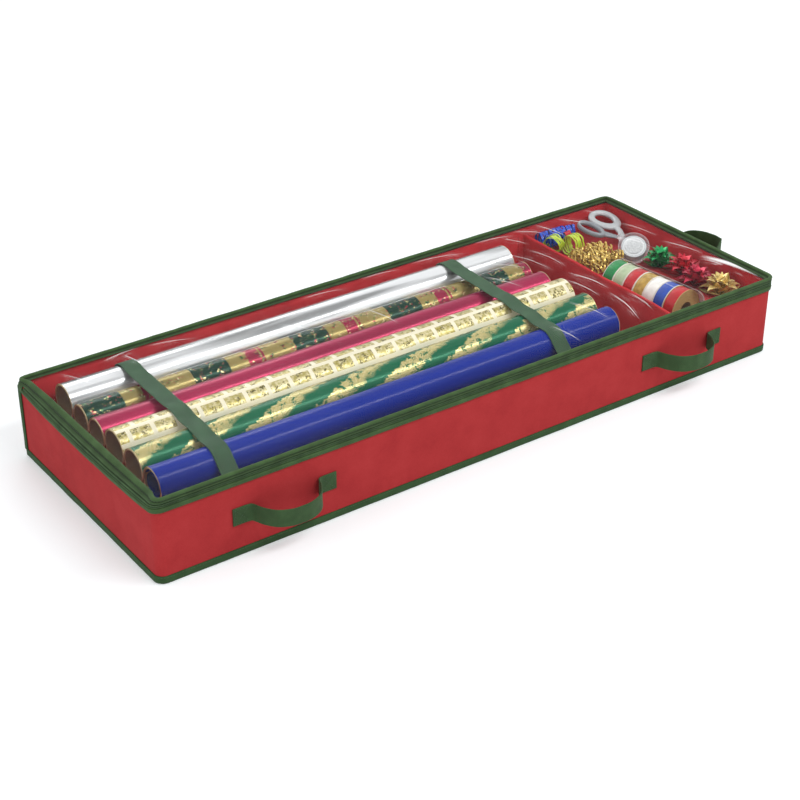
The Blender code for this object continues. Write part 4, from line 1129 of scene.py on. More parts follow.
@dataclass
class SoftBox:
    """The soft box: outer fabric, boards, lining, base, its bindings and the divider."""

    base: float = 0.001
    wall_top: float = 0.1111
    wall_bulge: float = 0.0009
    fabric: float = 0.0006
    lining_inset: float = 0.0044
    lining_thick: float = 0.0007
    lining_base: float = 0.0037
    seat: float = 0.0036
    divider_x: float = 0.340
    divider_top: float = 0.101
    divider_thick: float = 0.003
    divider_reach: float = 0.1788
    flap: float = 0.012

    def build(self) -> None:
        """Make and dress every piece of it."""
        self.outer_fabric()
        self.base_fabric()
        self.lining()
        for name in ("front_board", "back_board", "left_board", "right_board"):
            redress(name, GREY_BOARD)
        redress("floor_board", RED_LINING)
        self.bindings()
        self.corner_tape(-1, "back_left_binding")
        self.corner_tape(1, "back_right_binding")
        self.divider()
        heights = (0.1084, 0.1084, 0.1091, 0.1093, 0.1096, 0.1102, 0.1105, 0.1107, 0.1111, 0.1111)
        zip_side("lower", heights, 0.1109, "tray", 0.0)

    def outer_fabric(self) -> None:
        """One wrap of fabric round all four walls, a little uneven between its bindings."""
        heights = np.linspace(self.base, self.wall_top, 22)
        outer = PLAN.sweep([(0.0, height) for height in heights])
        x, y, z = (outer[..., axis].copy() for axis in range(3))
        free = ease(heights, 0.010, 0.030) * (1 - ease(heights, 0.085, 0.101))
        on_front, on_end, margin = y < -0.18, x > 0.5, 0.006
        # The fabric lies flat under each handle's sewn patch.
        flat = np.ones(x.shape)
        for along, wall, patches, bottom, top in (
            (x, on_front, ((-0.409, -0.383), (-0.284, -0.258), (0.258, 0.284), (0.383, 0.409)), 0.038, 0.077),
            (y, on_end, ((-0.083, -0.058), (0.042, 0.067)), 0.056, 0.094),
        ):
            for low, high in patches:
                flat[wall & (along > low - margin) & (along < high + margin) & (z > bottom) & (z < top)] = 0.15
        corner = np.minimum(ease(np.abs(np.abs(x) - PLAN.half_x), 0.0, 0.02) + (np.abs(y) < 0.16), 1)
        uneven = 0.45 + 0.4 * waves(outer, 0.16, 3) + 0.3 * waves(outer, 0.05, 4)
        push = self.wall_bulge * np.clip(uneven, 0.0, 1.2) * free * flat * corner
        for crease_x in (-0.15, 0.352, 0.07):
            dent = np.exp(-((x - crease_x) / 0.004) ** 2) * on_front
            push -= 0.0004 * dent * free * ease(z, 0.02, 0.08)
        outer[..., :2] += PLAN.loop()[1][:, None, :] * push[..., None]
        inner = PLAN.sweep([(self.fabric, height) for height in heights])
        wrap = Mesher().grid(doubled(outer, inner), round_rows=True, round_columns=True, along=PLAN.lengths())
        hand_in(wrap.piece("outer_fabric_wrap", [RED_FABRIC], 60), "red_nonwoven_fabric", "outer_wall", "back_wall")

    def base_fabric(self) -> None:
        """The fabric under the box, drawn tight with a faint ripple."""
        insets = [0.0006, 0.004, 0.012, 0.03, 0.055, 0.08, 0.105, 0.13, 0.155, 0.178]
        under = PLAN.sweep([(inset, 0.0) for inset in insets])
        over = PLAN.sweep([(inset, self.base) for inset in insets[::-1]])
        under[..., 2] += 0.00035 * (1 + waves(under[..., :2], 0.09, 21)) / 2
        mesher = Mesher().grid(np.concatenate([over, under], axis=1), round_rows=True, along=PLAN.lengths())
        mesher.cap(under[:, -1]).cap(over[:, 0])
        hand_in(mesher.piece("base_cloth", [RED_FABRIC], 60), "red_nonwoven_fabric", "base_fabric")

    def lining(self) -> None:
        """The lining of the walls, loose enough to ripple."""
        heights = np.linspace(self.lining_base, self.wall_top, 18)
        inner = PLAN.sweep([(self.lining_inset, height) for height in heights])
        free = ease(heights, 0.01, 0.03) * (1 - ease(heights, 0.09, 0.108))
        ripple = np.clip(waves(inner, 0.045, 8), -1, 0.2) * 0.0005 * free
        inner[..., :2] += PLAN.loop(self.lining_inset)[1][:, None, :] * ripple[..., None]
        outer = PLAN.sweep([(self.lining_inset - self.lining_thick, height) for height in heights])
        mesher = Mesher().grid(doubled(inner, outer), round_rows=True, round_columns=True, along=PLAN.lengths())
        hand_in(mesher.piece("wall_lining_cloth", [RED_LINING], 60), "red_lining", "wall_lining")

    def bindings(self) -> None:
        """The woven tapes sewn over the box's edges."""
        # Each point's third value is its painted shade for the tape's folds.
        base = [
            (0.0004, 0.0003, 0.0), (-0.0006, 0.0003, 0.0), (-0.0013, 0.0009, 0.0), (-0.0016, 0.0025, 0.0),
            (-0.0015, 0.0060, 0.0), (-0.0016, 0.0088, 0.0), (-0.0013, 0.0102, 0.0), (-0.0004, 0.0107, 0.5),
            (0.0003, 0.0106, 1.0), (0.0004, 0.0060, 0.0),
        ]
        sewn_band("base_binding_tape", "base_binding", base, GREEN_BINDING_PAINTED_SHADE, ((0.00022, 0.05, 17), (0.00012, 0.012, 7)),
                  fat=-0.0009, soft=False)
        # Each point's third value is its painted shade for the tape's folds.
        rim = [
            (0.0004, 0.1013, 1.0), (-0.0008, 0.1013, 0.7), (-0.0017, 0.1016, 0.0), (-0.0022, 0.1023, 0.0),
            (-0.0020, 0.1033, 0.0), (-0.0023, 0.1042, 0.0), (-0.0025, 0.1052, 0.0), (-0.0026, 0.1064, 0.0),
            (-0.0024, 0.1075, 0.0), (-0.0016, 0.1083, 0.3), (-0.0004, 0.1085, 1.0), (0.0004, 0.1083, 1.0),
            (0.0004, 0.1050, 0.0),
        ]
        sewn_band("rim_binding_tape", "rim_binding", rim, GREEN_BINDING, ((0.00022, 0.05, 16), (0.00012, 0.012, 7)),
                  fat=-0.0009)
        rows = [PLAN.rail(-0.0015, 0.0088), slump(PLAN.rail(-0.0021, 0.1033))]
        stitches("binding_stitches", rows, "green_binding", closed=True)

    def corner_tape(self, side: int, node: str) -> None:
        """The upright tape over one back corner.

        Args:
            side: -1 for the left corner, 1 for the right.
            node: The CAD node that it stands for.
        """
        x, y = np.array([
            (0.5061, 0.1846), (0.5061, 0.1856), (0.5070, 0.1861), (0.5128, 0.1861), (0.5140, 0.1857),
            (0.5146, 0.1845), (0.5146, 0.1786), (0.5141, 0.1776), (0.5131, 0.1776), (0.5131, 0.1836),
            (0.5121, 0.1846),
        ]).T
        grid = spread(side * x, y, np.linspace(0.0103, 0.1070, 40)[:, None])
        grid[..., 0] += side * 0.0002 * waves(grid, 0.03, 5) * (x > 0.5138)
        hand_in(Mesher().bar(grid).piece(node + "_tape", [GREEN_BINDING_PAINTED_SHADE], 50), "green_binding", node)

    def divider(self) -> None:
        """The lined board between the compartments, with its hem and the flaps that sew it to the walls."""
        half = self.divider_thick / 2
        places = np.linspace(-self.divider_reach, self.divider_reach, 90)
        heights = [*np.linspace(self.seat, 0.093, 14), 0.0955, 0.0975, 0.0995]
        crest = [self.divider_top - 0.0004, self.divider_top, self.divider_top - 0.0004]
        offsets = np.array([-half] * len(heights) + [-half * 0.6, 0.0, half * 0.6] + [half] * len(heights))
        levels = np.array(heights + crest + heights[::-1])
        grid = spread(self.divider_x + offsets, places[:, None], levels)
        loose = ease(levels, 0.01, 0.07) * (1 - ease(np.abs(grid[..., 1]), 0.165, 0.178))
        grid[..., 0] += (0.0009 * waves(grid[..., 1:], 0.11, 31) + 0.0003 * waves(grid[..., 1:], 0.02, 32)) * loose
        grid[..., 0] += np.sign(offsets) * 0.0005 * ((levels > 0.0945) & (levels < 0.1005))
        grid[..., 2] -= 0.0008 * (1 + waves(grid[..., 1:2], 0.2, 5)) * ease(levels, 0.08, 0.1)
        mesher = Mesher().bar(grid)
        for way in (-1, 1):
            for side in (-1, 1):
                reach = self.divider_x + side * np.array([half, self.flap])
                rise = np.linspace(self.seat, self.divider_top - 0.002, 12)[:, None]
                sewn = spread(reach, way * 0.17905, rise)
                mesher.grid(doubled(sewn, sewn - [0, way * 0.0006, 0]), round_columns=True)
        hand_in(mesher.piece("divider_panel", [RED_LINING], 50), "red_lining", "divider")
        row = spread(self.divider_x - half - 0.0006, np.linspace(-0.175, 0.175, 60), 0.0948)
        stitches("divider_stitches", [row], "red_lining", finish=RED_THREAD)


@dataclass
class ClearLid:
    """The lid: a sewn green frame, the clear window in it, the upper zip and the fabric that hinges it."""

    window_x: float = 0.5110
    window_y: float = 0.1825
    window_low: float = 0.1157
    window_high: float = 0.1161
    columns: int = 260
    rows: int = 96
    seed: int = 17
    hinge_thick: float = 0.0009

    def build(self) -> None:
        """Make and dress every piece of it."""
        self.sewn_frame()
        self.window()
        heights = (0.1114, 0.1114, 0.1117, 0.1119, 0.1122, 0.1127, 0.1130, 0.1132, 0.1138, 0.1138)
        zip_side("upper", heights, 0.1116, "lid", 0.001)
        self.hinge()

    def sewn_frame(self) -> None:
        """The binding that is sewn round the window, its rolled edge outermost."""
        # Each point's third value is its painted shade for the frame's folds and grooves.
        profile = [
            (0.0006, 0.1140, 1.0), (-0.0008, 0.1139, 1.0), (-0.0017, 0.1142, 0.2), (-0.0022, 0.1150, 0.1),
            (-0.0023, 0.1160, 0.25), (-0.0022, 0.1169, 0.4), (-0.0016, 0.1175, 1.0), (-0.0014, 0.1180, 1.0),
            (-0.0020, 0.1185, 0.3), (-0.0026, 0.1193, 0.0), (-0.0026, 0.1205, 0.0), (-0.0018, 0.1215, 0.0),
            (-0.0004, 0.1220, 0.0), (0.0012, 0.1219, 0.0), (0.0024, 0.1212, 0.0), (0.0030, 0.1200, 0.1),
            (0.0031, 0.1189, 0.7), (0.0037, 0.1180, 0.9), (0.0048, 0.1174, 0.5), (0.0066, 0.1170, 0.4),
            (0.0082, 0.1168, 0.3), (0.0087, 0.1165, 0.6), (0.0082, 0.1162, 1.0), (0.0040, 0.1162, 1.0),
            (0.0020, 0.1164, 1.0), (0.0006, 0.1162, 1.0),
        ]
        # Along the hinge the frame stays inside this y, so that it clears the rim when the lid lies open.
        sewn_band("lid_frame_tape", "lid_frame", profile, GREEN_BINDING, ((0.00030, 0.07, 12), (0.00015, 0.015, 13)),
                  fat=-0.0015, body="lid", back_limit=0.1863, crown=0.1198)
        rows = [slump(PLAN.rail(*row)) for row in ((-0.0022, 0.1153), (0.0072, 0.1171), (-0.0015, 0.1178))]
        stitches("lid_stitches", rows, "green_binding", "lid", closed=True)

    def window(self) -> None:
        """The clear sheet: a little slack, rippled, with white creases that are partly its stress-whitening and partly
        painted highlight.
        """
        half = np.array([self.window_x, self.window_y])
        field = spread(np.linspace(-half[0], half[0], self.columns)[:, None], np.linspace(-half[1], half[1], self.rows))
        inside = ease(half[0] - np.abs(field[..., 0]), 0.010, 0.05) * ease(half[1] - np.abs(field[..., 1]), 0.010, 0.04)
        slack = 0.0005 * waves(field, 0.13, self.seed) + 0.0003 * waves(field, 0.045, self.seed + 1)
        crease = np.zeros(field.shape[:2] + (3,))
        fold = np.zeros(field.shape[:2])
        for *ends, white in self.creases():
            start, end = np.reshape(ends, (2, 2))
            reach = np.linalg.norm(end - start)
            way = (end - start) / reach
            along = (field - start) @ way
            # Each bows a little aside, and fades out towards its ends.
            aside = (field - start) @ np.array([-way[1], way[0]]) - 0.05 * reach * np.sin(along / reach * math.pi)
            taper = ease(along, -0.004, reach * 0.35) * (1 - ease(along, reach * 0.65, reach + 0.004))
            broad = 1.0 + 13.0 * max(0.0, white - 0.6)
            wide = min(broad, 1.8)
            strength = white * taper * (1 - ease(np.abs(aside), 0.0050 * wide, 0.0130 * wide))
            nearer = strength > crease[..., 2]
            crease[nearer] = np.dstack([aside / broad, along, strength])[nearer]
            fold += 0.0008 * taper * np.exp(-(aside / 0.004) ** 2)
        drop = (0.0006 - slack - np.minimum(fold, 0.0012)) * inside
        low = slump(np.dstack([field, self.window_low - drop]))
        high = slump(np.dstack([field, self.window_high - drop]))
        mesher = Mesher().grid(high).grid(low, flip=True)
        for rim in ((0, slice(None)), (-1, slice(None)), (slice(None), 0), (slice(None), -1)):
            mesher.grid(np.stack([high[rim], low[rim]], axis=1))
        sheet = mesher.piece("clear_window_sheet", [CLEAR_VINYL], 60)
        values = sheet.data.attributes.new("crease", "FLOAT_VECTOR", "POINT")
        places = np.array([vertex.co[:2] for vertex in sheet.data.vertices])
        last = np.array(field.shape[:2]) - 1
        nearest = np.clip(np.round((places / half + 1) / 2 * last).astype(int), 0, last)
        values.data.foreach_set("vector", crease[tuple(nearest.T)].astype(np.float32).ravel())
        hand_in(sheet, "clear_pvc", "lid_window", body="lid")

    def creases(self) -> Section:
        """Where the sheet is creased.

        Returns:
            For each crease the x and y of its start and its end, and how white it is.
        """
        beside_divider = (
            (0.252, 0.112, 0.272, 0.030, 0.35), (0.286, 0.110, 0.296, 0.028, 0.35), (0.284, 0.010, 0.300, -0.062, 0.6),
            (0.266, -0.004, 0.272, -0.075, 0.4), (0.292, -0.070, 0.268, -0.162, 0.5), (0.312, -0.090, 0.304, -0.150, 0.4),
            (0.276, 0.168, 0.300, 0.120, 0.35),
        )
        right_end = (
            (0.484, -0.062, 0.508, -0.168, 1.0), (0.474, 0.012, 0.492, -0.058, 0.45), (0.466, 0.100, 0.480, 0.030, 0.35),
            (0.370, -0.066, 0.376, -0.129, 0.35), (0.397, 0.168, 0.424, 0.128, 0.45), (0.354, 0.172, 0.366, 0.110, 0.45),
            (0.312, 0.172, 0.345, 0.140, 0.45), (0.430, 0.060, 0.446, 0.004, 0.4), (0.452, 0.172, 0.470, 0.128, 0.35),
        )
        along_back = (
            (0.236, 0.172, 0.302, 0.160, 0.4), (0.112, 0.172, 0.205, 0.152, 0.4), (0.024, 0.172, 0.090, 0.164, 0.35),
            (-0.082, 0.168, -0.010, 0.158, 0.35), (-0.370, 0.174, -0.360, 0.128, 0.45),
            (-0.398, 0.166, -0.340, 0.174, 0.4), (-0.460, 0.168, -0.440, 0.120, 0.3), (-0.330, 0.172, -0.262, 0.150, 0.35),
        )
        over_rolls = (
            (-0.028, 0.092, -0.014, 0.022, 0.35), (0.175, 0.074, 0.200, 0.010, 0.35), (0.207, 0.101, 0.244, 0.060, 0.35),
            (0.153, -0.104, 0.158, -0.165, 0.35), (-0.150, 0.120, -0.120, 0.070, 0.3), (0.222, -0.060, 0.236, -0.140, 0.35),
        )
        return beside_divider + right_end + along_back + over_rolls

    def hinge(self) -> None:
        """The fabric along the back that joins the lid to the box, left on neither body."""
        xs = np.linspace(-0.5141, 0.5141, 200)[:, None]
        bow = 0.0006 * np.sin(np.linspace(0, math.pi, 9))
        outer = spread(xs, 0.1849 + bow + 0.0002 * waves(xs[..., None], 0.02, 4), np.linspace(0.1083, 0.1143, 9))
        mesher = Mesher().bar(slump(doubled(outer, outer - [0, self.hinge_thick, 0])))
        for side in (-1, 1):
            flap = spread(side * 0.5148, np.linspace(0.1697, 0.1853, 6)[:, None], np.linspace(0.1062, 0.1143, 9))
            mesher.bar(slump(doubled(flap, flap - [side * self.hinge_thick, 0, 0])))
        cloth = hand_in(mesher.piece("hinge_fabric", [GREEN_BINDING], 50), "green_binding", "hinge_strip", body=None)
        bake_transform(cloth)


def smooth_path(points: Section, count: int) -> np.ndarray:
    """Run a smooth curve through points, evenly spaced along it.

    Args:
        points: The points that it passes.
        count: How many places it is given by.

    Returns:
        The places.
    """
    given = np.array(points, dtype=float)
    padded = np.vstack([2 * given[0] - given[1], given, 2 * given[-1] - given[-2]])
    share = np.linspace(0, 1, 24, endpoint=False)[:, None]
    curve = np.vstack([
        0.5 * (2 * start + (end - before) * share + (2 * before - 5 * start + 4 * end - after) * share ** 2
               + (3 * start - before - 3 * end + after) * share ** 3)
        for before, start, end, after in zip(padded, padded[1:], padded[2:], padded[3:])
    ] + [given[-1:]])
    steps = travel(curve, closed=False)
    places = np.linspace(0, steps[-1], count)
    return np.column_stack([np.interp(places, steps, curve[:, axis]) for axis in range(curve.shape[1])])


def strap(
    name: str, path: np.ndarray, across: Point, outward: np.ndarray, wide: float, thick: float, finish: Finish,
    edge: float,
) -> Piece:
    """Make a flat strap along a path.

    Args:
        name: The piece's name.
        path: Its middle, place by place.
        across: The direction of its width.
        outward: The direction of its thickness at each place.
        wide: Its width.
        thick: Its thickness.
        finish: Its finish.
        edge: How much thicker its two selvedges are.

    Returns:
        The piece.
    """
    upper = np.array([(-0.5, 0.0), (-0.49, 0.32), (-0.46, 0.5), (-0.40, 0.5), (0.0, 0.5), (0.40, 0.5), (0.46, 0.5),
                      (0.49, 0.32)])
    side, depth = np.vstack([upper, -upper]).T
    extra = edge * ((np.abs(side) > 0.42) & (np.abs(side) < 0.48))
    out = depth * thick + np.copysign(extra, depth)
    grid = path[:, None] + np.array(across) * (side * wide)[:, None] + outward[:, None] * out[:, None]
    across_map = travel(spread(side * wide, depth * thick))
    return Mesher().bar(grid, along=travel(path, closed=False), across=across_map).piece(name, [finish], 50)


@dataclass
class WebbingHandle:
    """A loop of webbing, sewn flat to the wall at both ends."""

    name: str
    middle: float
    on_end: bool = False
    height: float = 0.0575
    rise: float = 0.0
    reach: float = 0.0415
    half_span: float = 0.075
    patch: float = 0.025
    wide: float = 0.025
    thick: float = 0.0016

    def build(self) -> None:
        """Make the webbing and its stitches."""
        gap = self.half_span - self.patch
        half = [
            (-self.half_span, 0.0, 0.0), (-gap - 0.006, 0.0, 0.0), (-gap + 0.0015, 0.0022, 0.02),
            (-gap * 0.84, self.reach * 0.42, 0.30), (-gap * 0.62, self.reach * 0.77, 0.62),
            (-gap * 0.30, self.reach * 0.96, 0.92),
        ]
        shape = half + [(0.0, self.reach, 1.0)] + [(-along, out, up) for along, out, up in half[::-1]]
        if self.on_end:
            # Pushed askew: steep on its front side, slanting back to the wall on the other.
            shape = [
                (-self.half_span, 0.0, 0.0), (-0.056, 0.0, 0.0), (-0.0485, 0.0022, 0.10), (-0.0400, 0.0150, 0.60),
                (-0.0325, 0.0325, 0.97), (-0.0245, self.reach, 1.0), (-0.0080, 0.0405, 1.0), (0.0120, 0.0360, 0.97),
                (0.0300, 0.0255, 0.85), (0.0430, 0.0120, 0.48), (0.0487, 0.0022, 0.06), (0.056, 0.0, 0.0),
                (self.half_span, 0.0, 0.0),
            ]
        along, out, up = smooth_path(shape, 110).T
        out, up = np.maximum(out, 0), np.clip(up, 0, 1)
        tangent = unit(np.gradient(spread(along, out), axis=0))
        wall = (0.5129 if self.on_end else 0.1844) + self.thick / 2
        path = self.placed(self.middle + along, wall + out, self.height + self.rise * up)
        outward = self.placed(-tangent[:, 1], tangent[:, 0], 0)
        loop = strap(self.name + "_webbing", path, (0.0, 0.0, 1.0), outward, self.wide, self.thick, GREEN_WEBBING, 0.0002)
        node = self.name + "_handle"
        hand_in(loop, "green_webbing", node, node + "_patch_left", node + "_patch_right", body=None)
        if self.on_end:
            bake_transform(loop)
        else:
            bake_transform(loop)
        self.sew(wall + self.thick / 2 + 0.0002)

    def placed(self, along: np.ndarray, out: np.ndarray, height: np.ndarray) -> np.ndarray:
        """Turn places or directions along the wall, out from it and up into coordinates."""
        return spread(out, along, height) if self.on_end else spread(along, -out, height)

    def sew(self, out: float) -> None:
        """Sew each patch with a box of stitches and a cross in it.

        Args:
            out: How far from the box's middle the stitches lie.
        """
        low, high = -self.patch / 2 + 0.003, self.patch / 2 - 0.003
        box = np.array([(low, low), (high, low), (high, high), (low, high), (low, low), (high, high)])
        paths = []
        for side in (-1, 1):
            centre = self.middle + side * (self.half_span - self.patch / 2)
            for row in (box, np.array([(low, high), (high, low)])):
                paths.append(self.placed(centre + row[:, 0], out, self.height + row[:, 1]))
        stitches(self.name + "_handle_stitches", paths, "green_webbing")


@dataclass
class WrapRoll:
    """A roll of wrapping paper on a card core."""

    name: str
    y: float
    radius: float
    finish: CoatedPaper
    seam: float = 1.2
    curled_inside: bool = False
    x_low: float = -0.470
    x_high: float = 0.271
    seat: float = 0.0599
    paper: float = 0.0016
    core: float = 0.0013
    # The paper's free edge lies this far over the turn below it.
    overlap: float = 0.00035
    around: int = 72

    def build(self) -> None:
        """Make the wound paper, its ends and the core."""
        angles = np.linspace(0, math.tau, self.around, endpoint=False) + self.seam
        spiral = self.radius - self.overlap * (np.arange(self.around) / self.around)
        inner = self.radius - self.paper - self.core
        xs = np.array([self.x_low + 0.0002, *np.linspace(self.x_low + 0.001, self.x_high - 0.001, 70),
                       self.x_high - 0.0002])
        shell = self.ring(xs[:, None], angles, spiral)
        soft = 0.00022 * waves(shell, 0.09, int(self.radius * 1e5)) - 0.0002
        away = shell - [0, self.y, self.seat + self.radius]
        away[..., 0] = 0
        shell += unit(away) * soft[..., None]
        turns = np.append(angles - self.seam, math.tau) * self.radius
        mesher = Mesher().grid(shell, round_columns=True, along=xs, across=turns)
        for end, way in ((self.x_low, 1), (self.x_high, -1)):
            # The turns of paper end a little out of line with one another.
            shares = np.linspace(0, 1, 10)
            depths = 0.0004 * np.sin(np.arange(10) * 2.1) * ((shares > 0) & (shares < 1))
            rings = [self.ring(end + way * (0.0006 + depth), angles, spiral - share * self.paper)
                     for share, depth in zip(shares, depths)]
            mesher.grid(np.stack([shell[0 if way > 0 else -1]] + rings), 1, round_columns=True)
            outer = spiral - self.paper
            lip = [
                self.ring(end + way * 0.0006, angles, outer), self.ring(end, angles, outer - 0.0002),
                self.ring(end, angles, inner + 0.0002), self.ring(end + way * 0.0003, angles, inner),
            ]
            mesher.grid(np.stack(lip), 1, round_columns=True)
        xs = np.array([self.x_low + 0.0003, self.x_low + 0.03, self.x_high - 0.03, self.x_high - 0.0003])
        mesher.grid(self.ring(xs[:, None], angles, inner), 2, round_columns=True, flip=True)
        roll = mesher.piece("roll_" + self.name, [self.finish, CORE_CARD, CORE_INSIDE], 40)
        hand_in(roll, f"wrap_roll_{self.name}_paper", "wrap_roll_" + self.name)
        if self.curled_inside:
            self.curl()

    def ring(self, x: object, angles: np.ndarray, radius: object) -> np.ndarray:
        """Set a ring of points round the roll's middle, or a ring for each row of x."""
        centre = self.seat + self.radius
        return spread(x, self.y + np.cos(angles) * radius, centre + np.sin(angles) * radius)

    def curl(self) -> None:
        """A sheet of the same paper curled up in the core."""
        angles = np.linspace(0.4, 0.4 + math.tau * 1.35, 60)
        radius = np.linspace(self.radius - self.paper - self.core - 0.0006, self.radius * 0.60, 60)
        xs = np.linspace(self.x_low + 0.0015, self.x_low + 0.20, 12)[:, None]
        outer, inner = self.ring(xs, angles, radius), self.ring(xs, angles, radius - 0.0003)
        mesher = Mesher().grid(doubled(outer, inner), round_columns=True)
        for place in (0, -1):
            mesher.grid(np.stack([outer[place], inner[place]]))
        sheet = mesher.piece("curled_sheet_in_" + self.name + "_roll", [self.finish], 50)
        hand_in(sheet, f"wrap_roll_{self.name}_paper")


ROLLS = (
    WrapRoll("blue", -0.0985, 0.0235, CoatedPaper("coated_paper_blue", "#0B2C98", "#092482", 0.19, gloss=0.13),
             4.2, True),
    WrapRoll("green", -0.0502, 0.0245, CoatedPaper(
        "foil_printed_paper_green", "#066040", "#044A30", 0.26, "#E6DDAA", "#A59854", Print.DIAGONAL, 0.4, gloss=0.2),
        3.9),
    WrapRoll("cream", 0.0006, 0.0260, CoatedPaper(
        "foil_printed_paper_cream", "#EFE8CE", "#DDD3A8", 0.32, "#5F5830", "#A5984E", Print.TILES, 0.35, gloss=0.3),
        4.6),
    # The crimson foil's strong lengthwise bands are painted reflection.
    WrapRoll("crimson", 0.0494, 0.0225, CoatedPaper(
        "foil_paper_crimson", "#AE2150", "#8E1640", 0.25, metal=0.35, streak=0.3, gloss=0.3), 4.6),
    WrapRoll("striped", 0.0942, 0.0220, CoatedPaper(
        "foil_printed_paper_striped", "#12362A", "#0E2A20", 0.25, "#D9CC94", "#938450", Print.BLOCKS, 0.4, gloss=0.2),
        1.0),
    # The silver foil's strong lengthwise bands are painted reflection.
    WrapRoll("silver", 0.1425, 0.0260, CoatedPaper(
        "metallised_paper_silver", "#F2F4F5", "#DCDFE1", 0.24, metal=0.7, streak=0.65), 3.4),
)


@dataclass
class ElasticStrap:
    """An elastic strap over the rolls, sewn to the front and back walls."""

    name: str
    x: float
    wide: float = 0.025
    thick: float = 0.0012
    anchor: float = 0.0452
    wall: float = 0.1785
    # How far over the paper it lies.
    clear: float = 0.0009
    # Pulled askew by hand: its front end lies this far to the left.
    skew: float = 0.010

    def build(self) -> None:
        """Lay the strap over the rolls, a little into the dips between them."""
        ys = np.linspace(-self.wall, self.wall, 220)
        taut = np.interp(ys, *np.array(self.hull()).T)
        tops = np.zeros(len(ys))
        for roll in ROLLS:
            reach = roll.radius + self.clear
            over = np.sqrt(np.maximum(reach ** 2 - (ys - roll.y) ** 2, 0))
            tops = np.where(np.abs(ys - roll.y) < reach, np.maximum(tops, roll.seat + roll.radius + over), tops)
        dip = np.minimum(taut - np.minimum(tops, taut), 0.009)
        heights = taut - np.where((ys > -0.1) & (ys < 0.145), 0.22 * dip, 0)
        kernel = np.hanning(9)
        smoothed = np.convolve(np.pad(heights, 4, mode="edge"), kernel / kernel.sum(), mode="valid")
        heights = np.maximum(smoothed, tops * (np.abs(ys) < 0.16))
        path = spread(self.x - self.skew * (0.5 - ys / self.wall / 2), ys, heights + self.thick / 2)
        along = (1.0, 0.0, 0.0)
        outward = np.cross(along, unit(np.gradient(path, axis=0)))
        band = strap(self.name + "_elastic", path, along, outward, self.wide, self.thick, GREEN_ELASTIC, 0.0001)
        hand_in(band, "green_elastic", self.name)

    def hull(self) -> list[tuple[float, float]]:
        """Stretch a line from wall to wall over the rolls.

        Returns:
            The y and z of its bends, from the front.
        """
        places = [(-self.wall, self.anchor), (self.wall, self.anchor)]
        for roll in ROLLS:
            reach, centre = roll.radius + self.clear, roll.seat + roll.radius
            places += [(roll.y + reach * math.cos(angle), centre + reach * math.sin(angle))
                       for angle in np.linspace(0, math.pi, 61)]
        upper: list[tuple[float, float]] = []
        for y, z in sorted(places):
            while len(upper) > 1 and (
                (upper[-1][0] - upper[-2][0]) * (z - upper[-2][1]) >= (upper[-1][1] - upper[-2][1]) * (y - upper[-2][0])
            ):
                upper.pop()
            upper.append((y, z))
        return upper


@dataclass
class GiftBox:
    """A small gift box with a lift-off lid, that carries the goods on top of it."""

    node: str
    # The box is this much narrower than its lid on each side, and its edges are this soft.
    play: float = 0.0008
    soft: float = 0.0007

    def build(self) -> None:
        """Make the box and its lid a little larger than it."""
        low, high = (np.array(corner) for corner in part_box(self.node))
        lid = min(0.022, (high[2] - low[2]) * 0.45)
        mesher = Mesher()
        self.block(mesher, low + [self.play, self.play, 0], high - [self.play, self.play, lid * 0.4])
        self.block(mesher, np.array([low[0], low[1], high[2] - lid]), high)
        hand_in(mesher.piece(self.node + "_card", [RED_CARD], 30), "folded_carton", self.node)

    def block(self, mesher: Mesher, low: np.ndarray, high: np.ndarray) -> None:
        """Add one closed card block with softened edges.

        Args:
            mesher: What it is added to.
            low: Its lowest corner.
            high: Its highest corner.
        """
        plan = Plan((high[0] - low[0]) / 2, (high[1] - low[1]) / 2, 0.0009, 0.0009, 0.012, 3)
        soft = self.soft
        grid = plan.sweep([(soft, low[2]), (0.0, low[2] + soft), (0.0, high[2] - soft),
                           (soft * 0.4, high[2] - soft * 0.3), (soft, high[2])])
        grid[..., :2] += (low[:2] + high[:2]) / 2
        mesher.grid(grid, round_rows=True, along=plan.lengths()).cap(grid[:, 0]).cap(grid[:, -1])


def lathed(
    name: str, section: Section, finishes: Sequence[Finish], place: Matrix, around: np.ndarray, wobble: float = 0.0
) -> Piece:
    """Turn a section about an axis, each stretch of it with a finish of its own.

    Args:
        name: The piece's name.
        section: The radius and the height of each of its points, and the finish of the stretch up to it.
        finishes: The finishes.
        place: Where the piece goes.
        around: The directions.
        wobble: How uneven the stretches of the first finish are.

    Returns:
        The piece.
    """
    mesher = Mesher()
    for start, end in zip(section[:-1], section[1:]):
        if start[:2] != end[:2]:
            rings = revolve((start, end), around)
            radius = np.array([start[0], end[0]])[:, None]
            uneven = wobble * np.sin(around * 3 + radius * 900) * (end[2] == 0)
            rings[..., :2] *= (1 + uneven / radius)[..., None]
            mesher.grid(rings, end[2], round_columns=True)
    piece = mesher.piece(name, finishes, 35)
    piece.data.transform(place)
    return piece


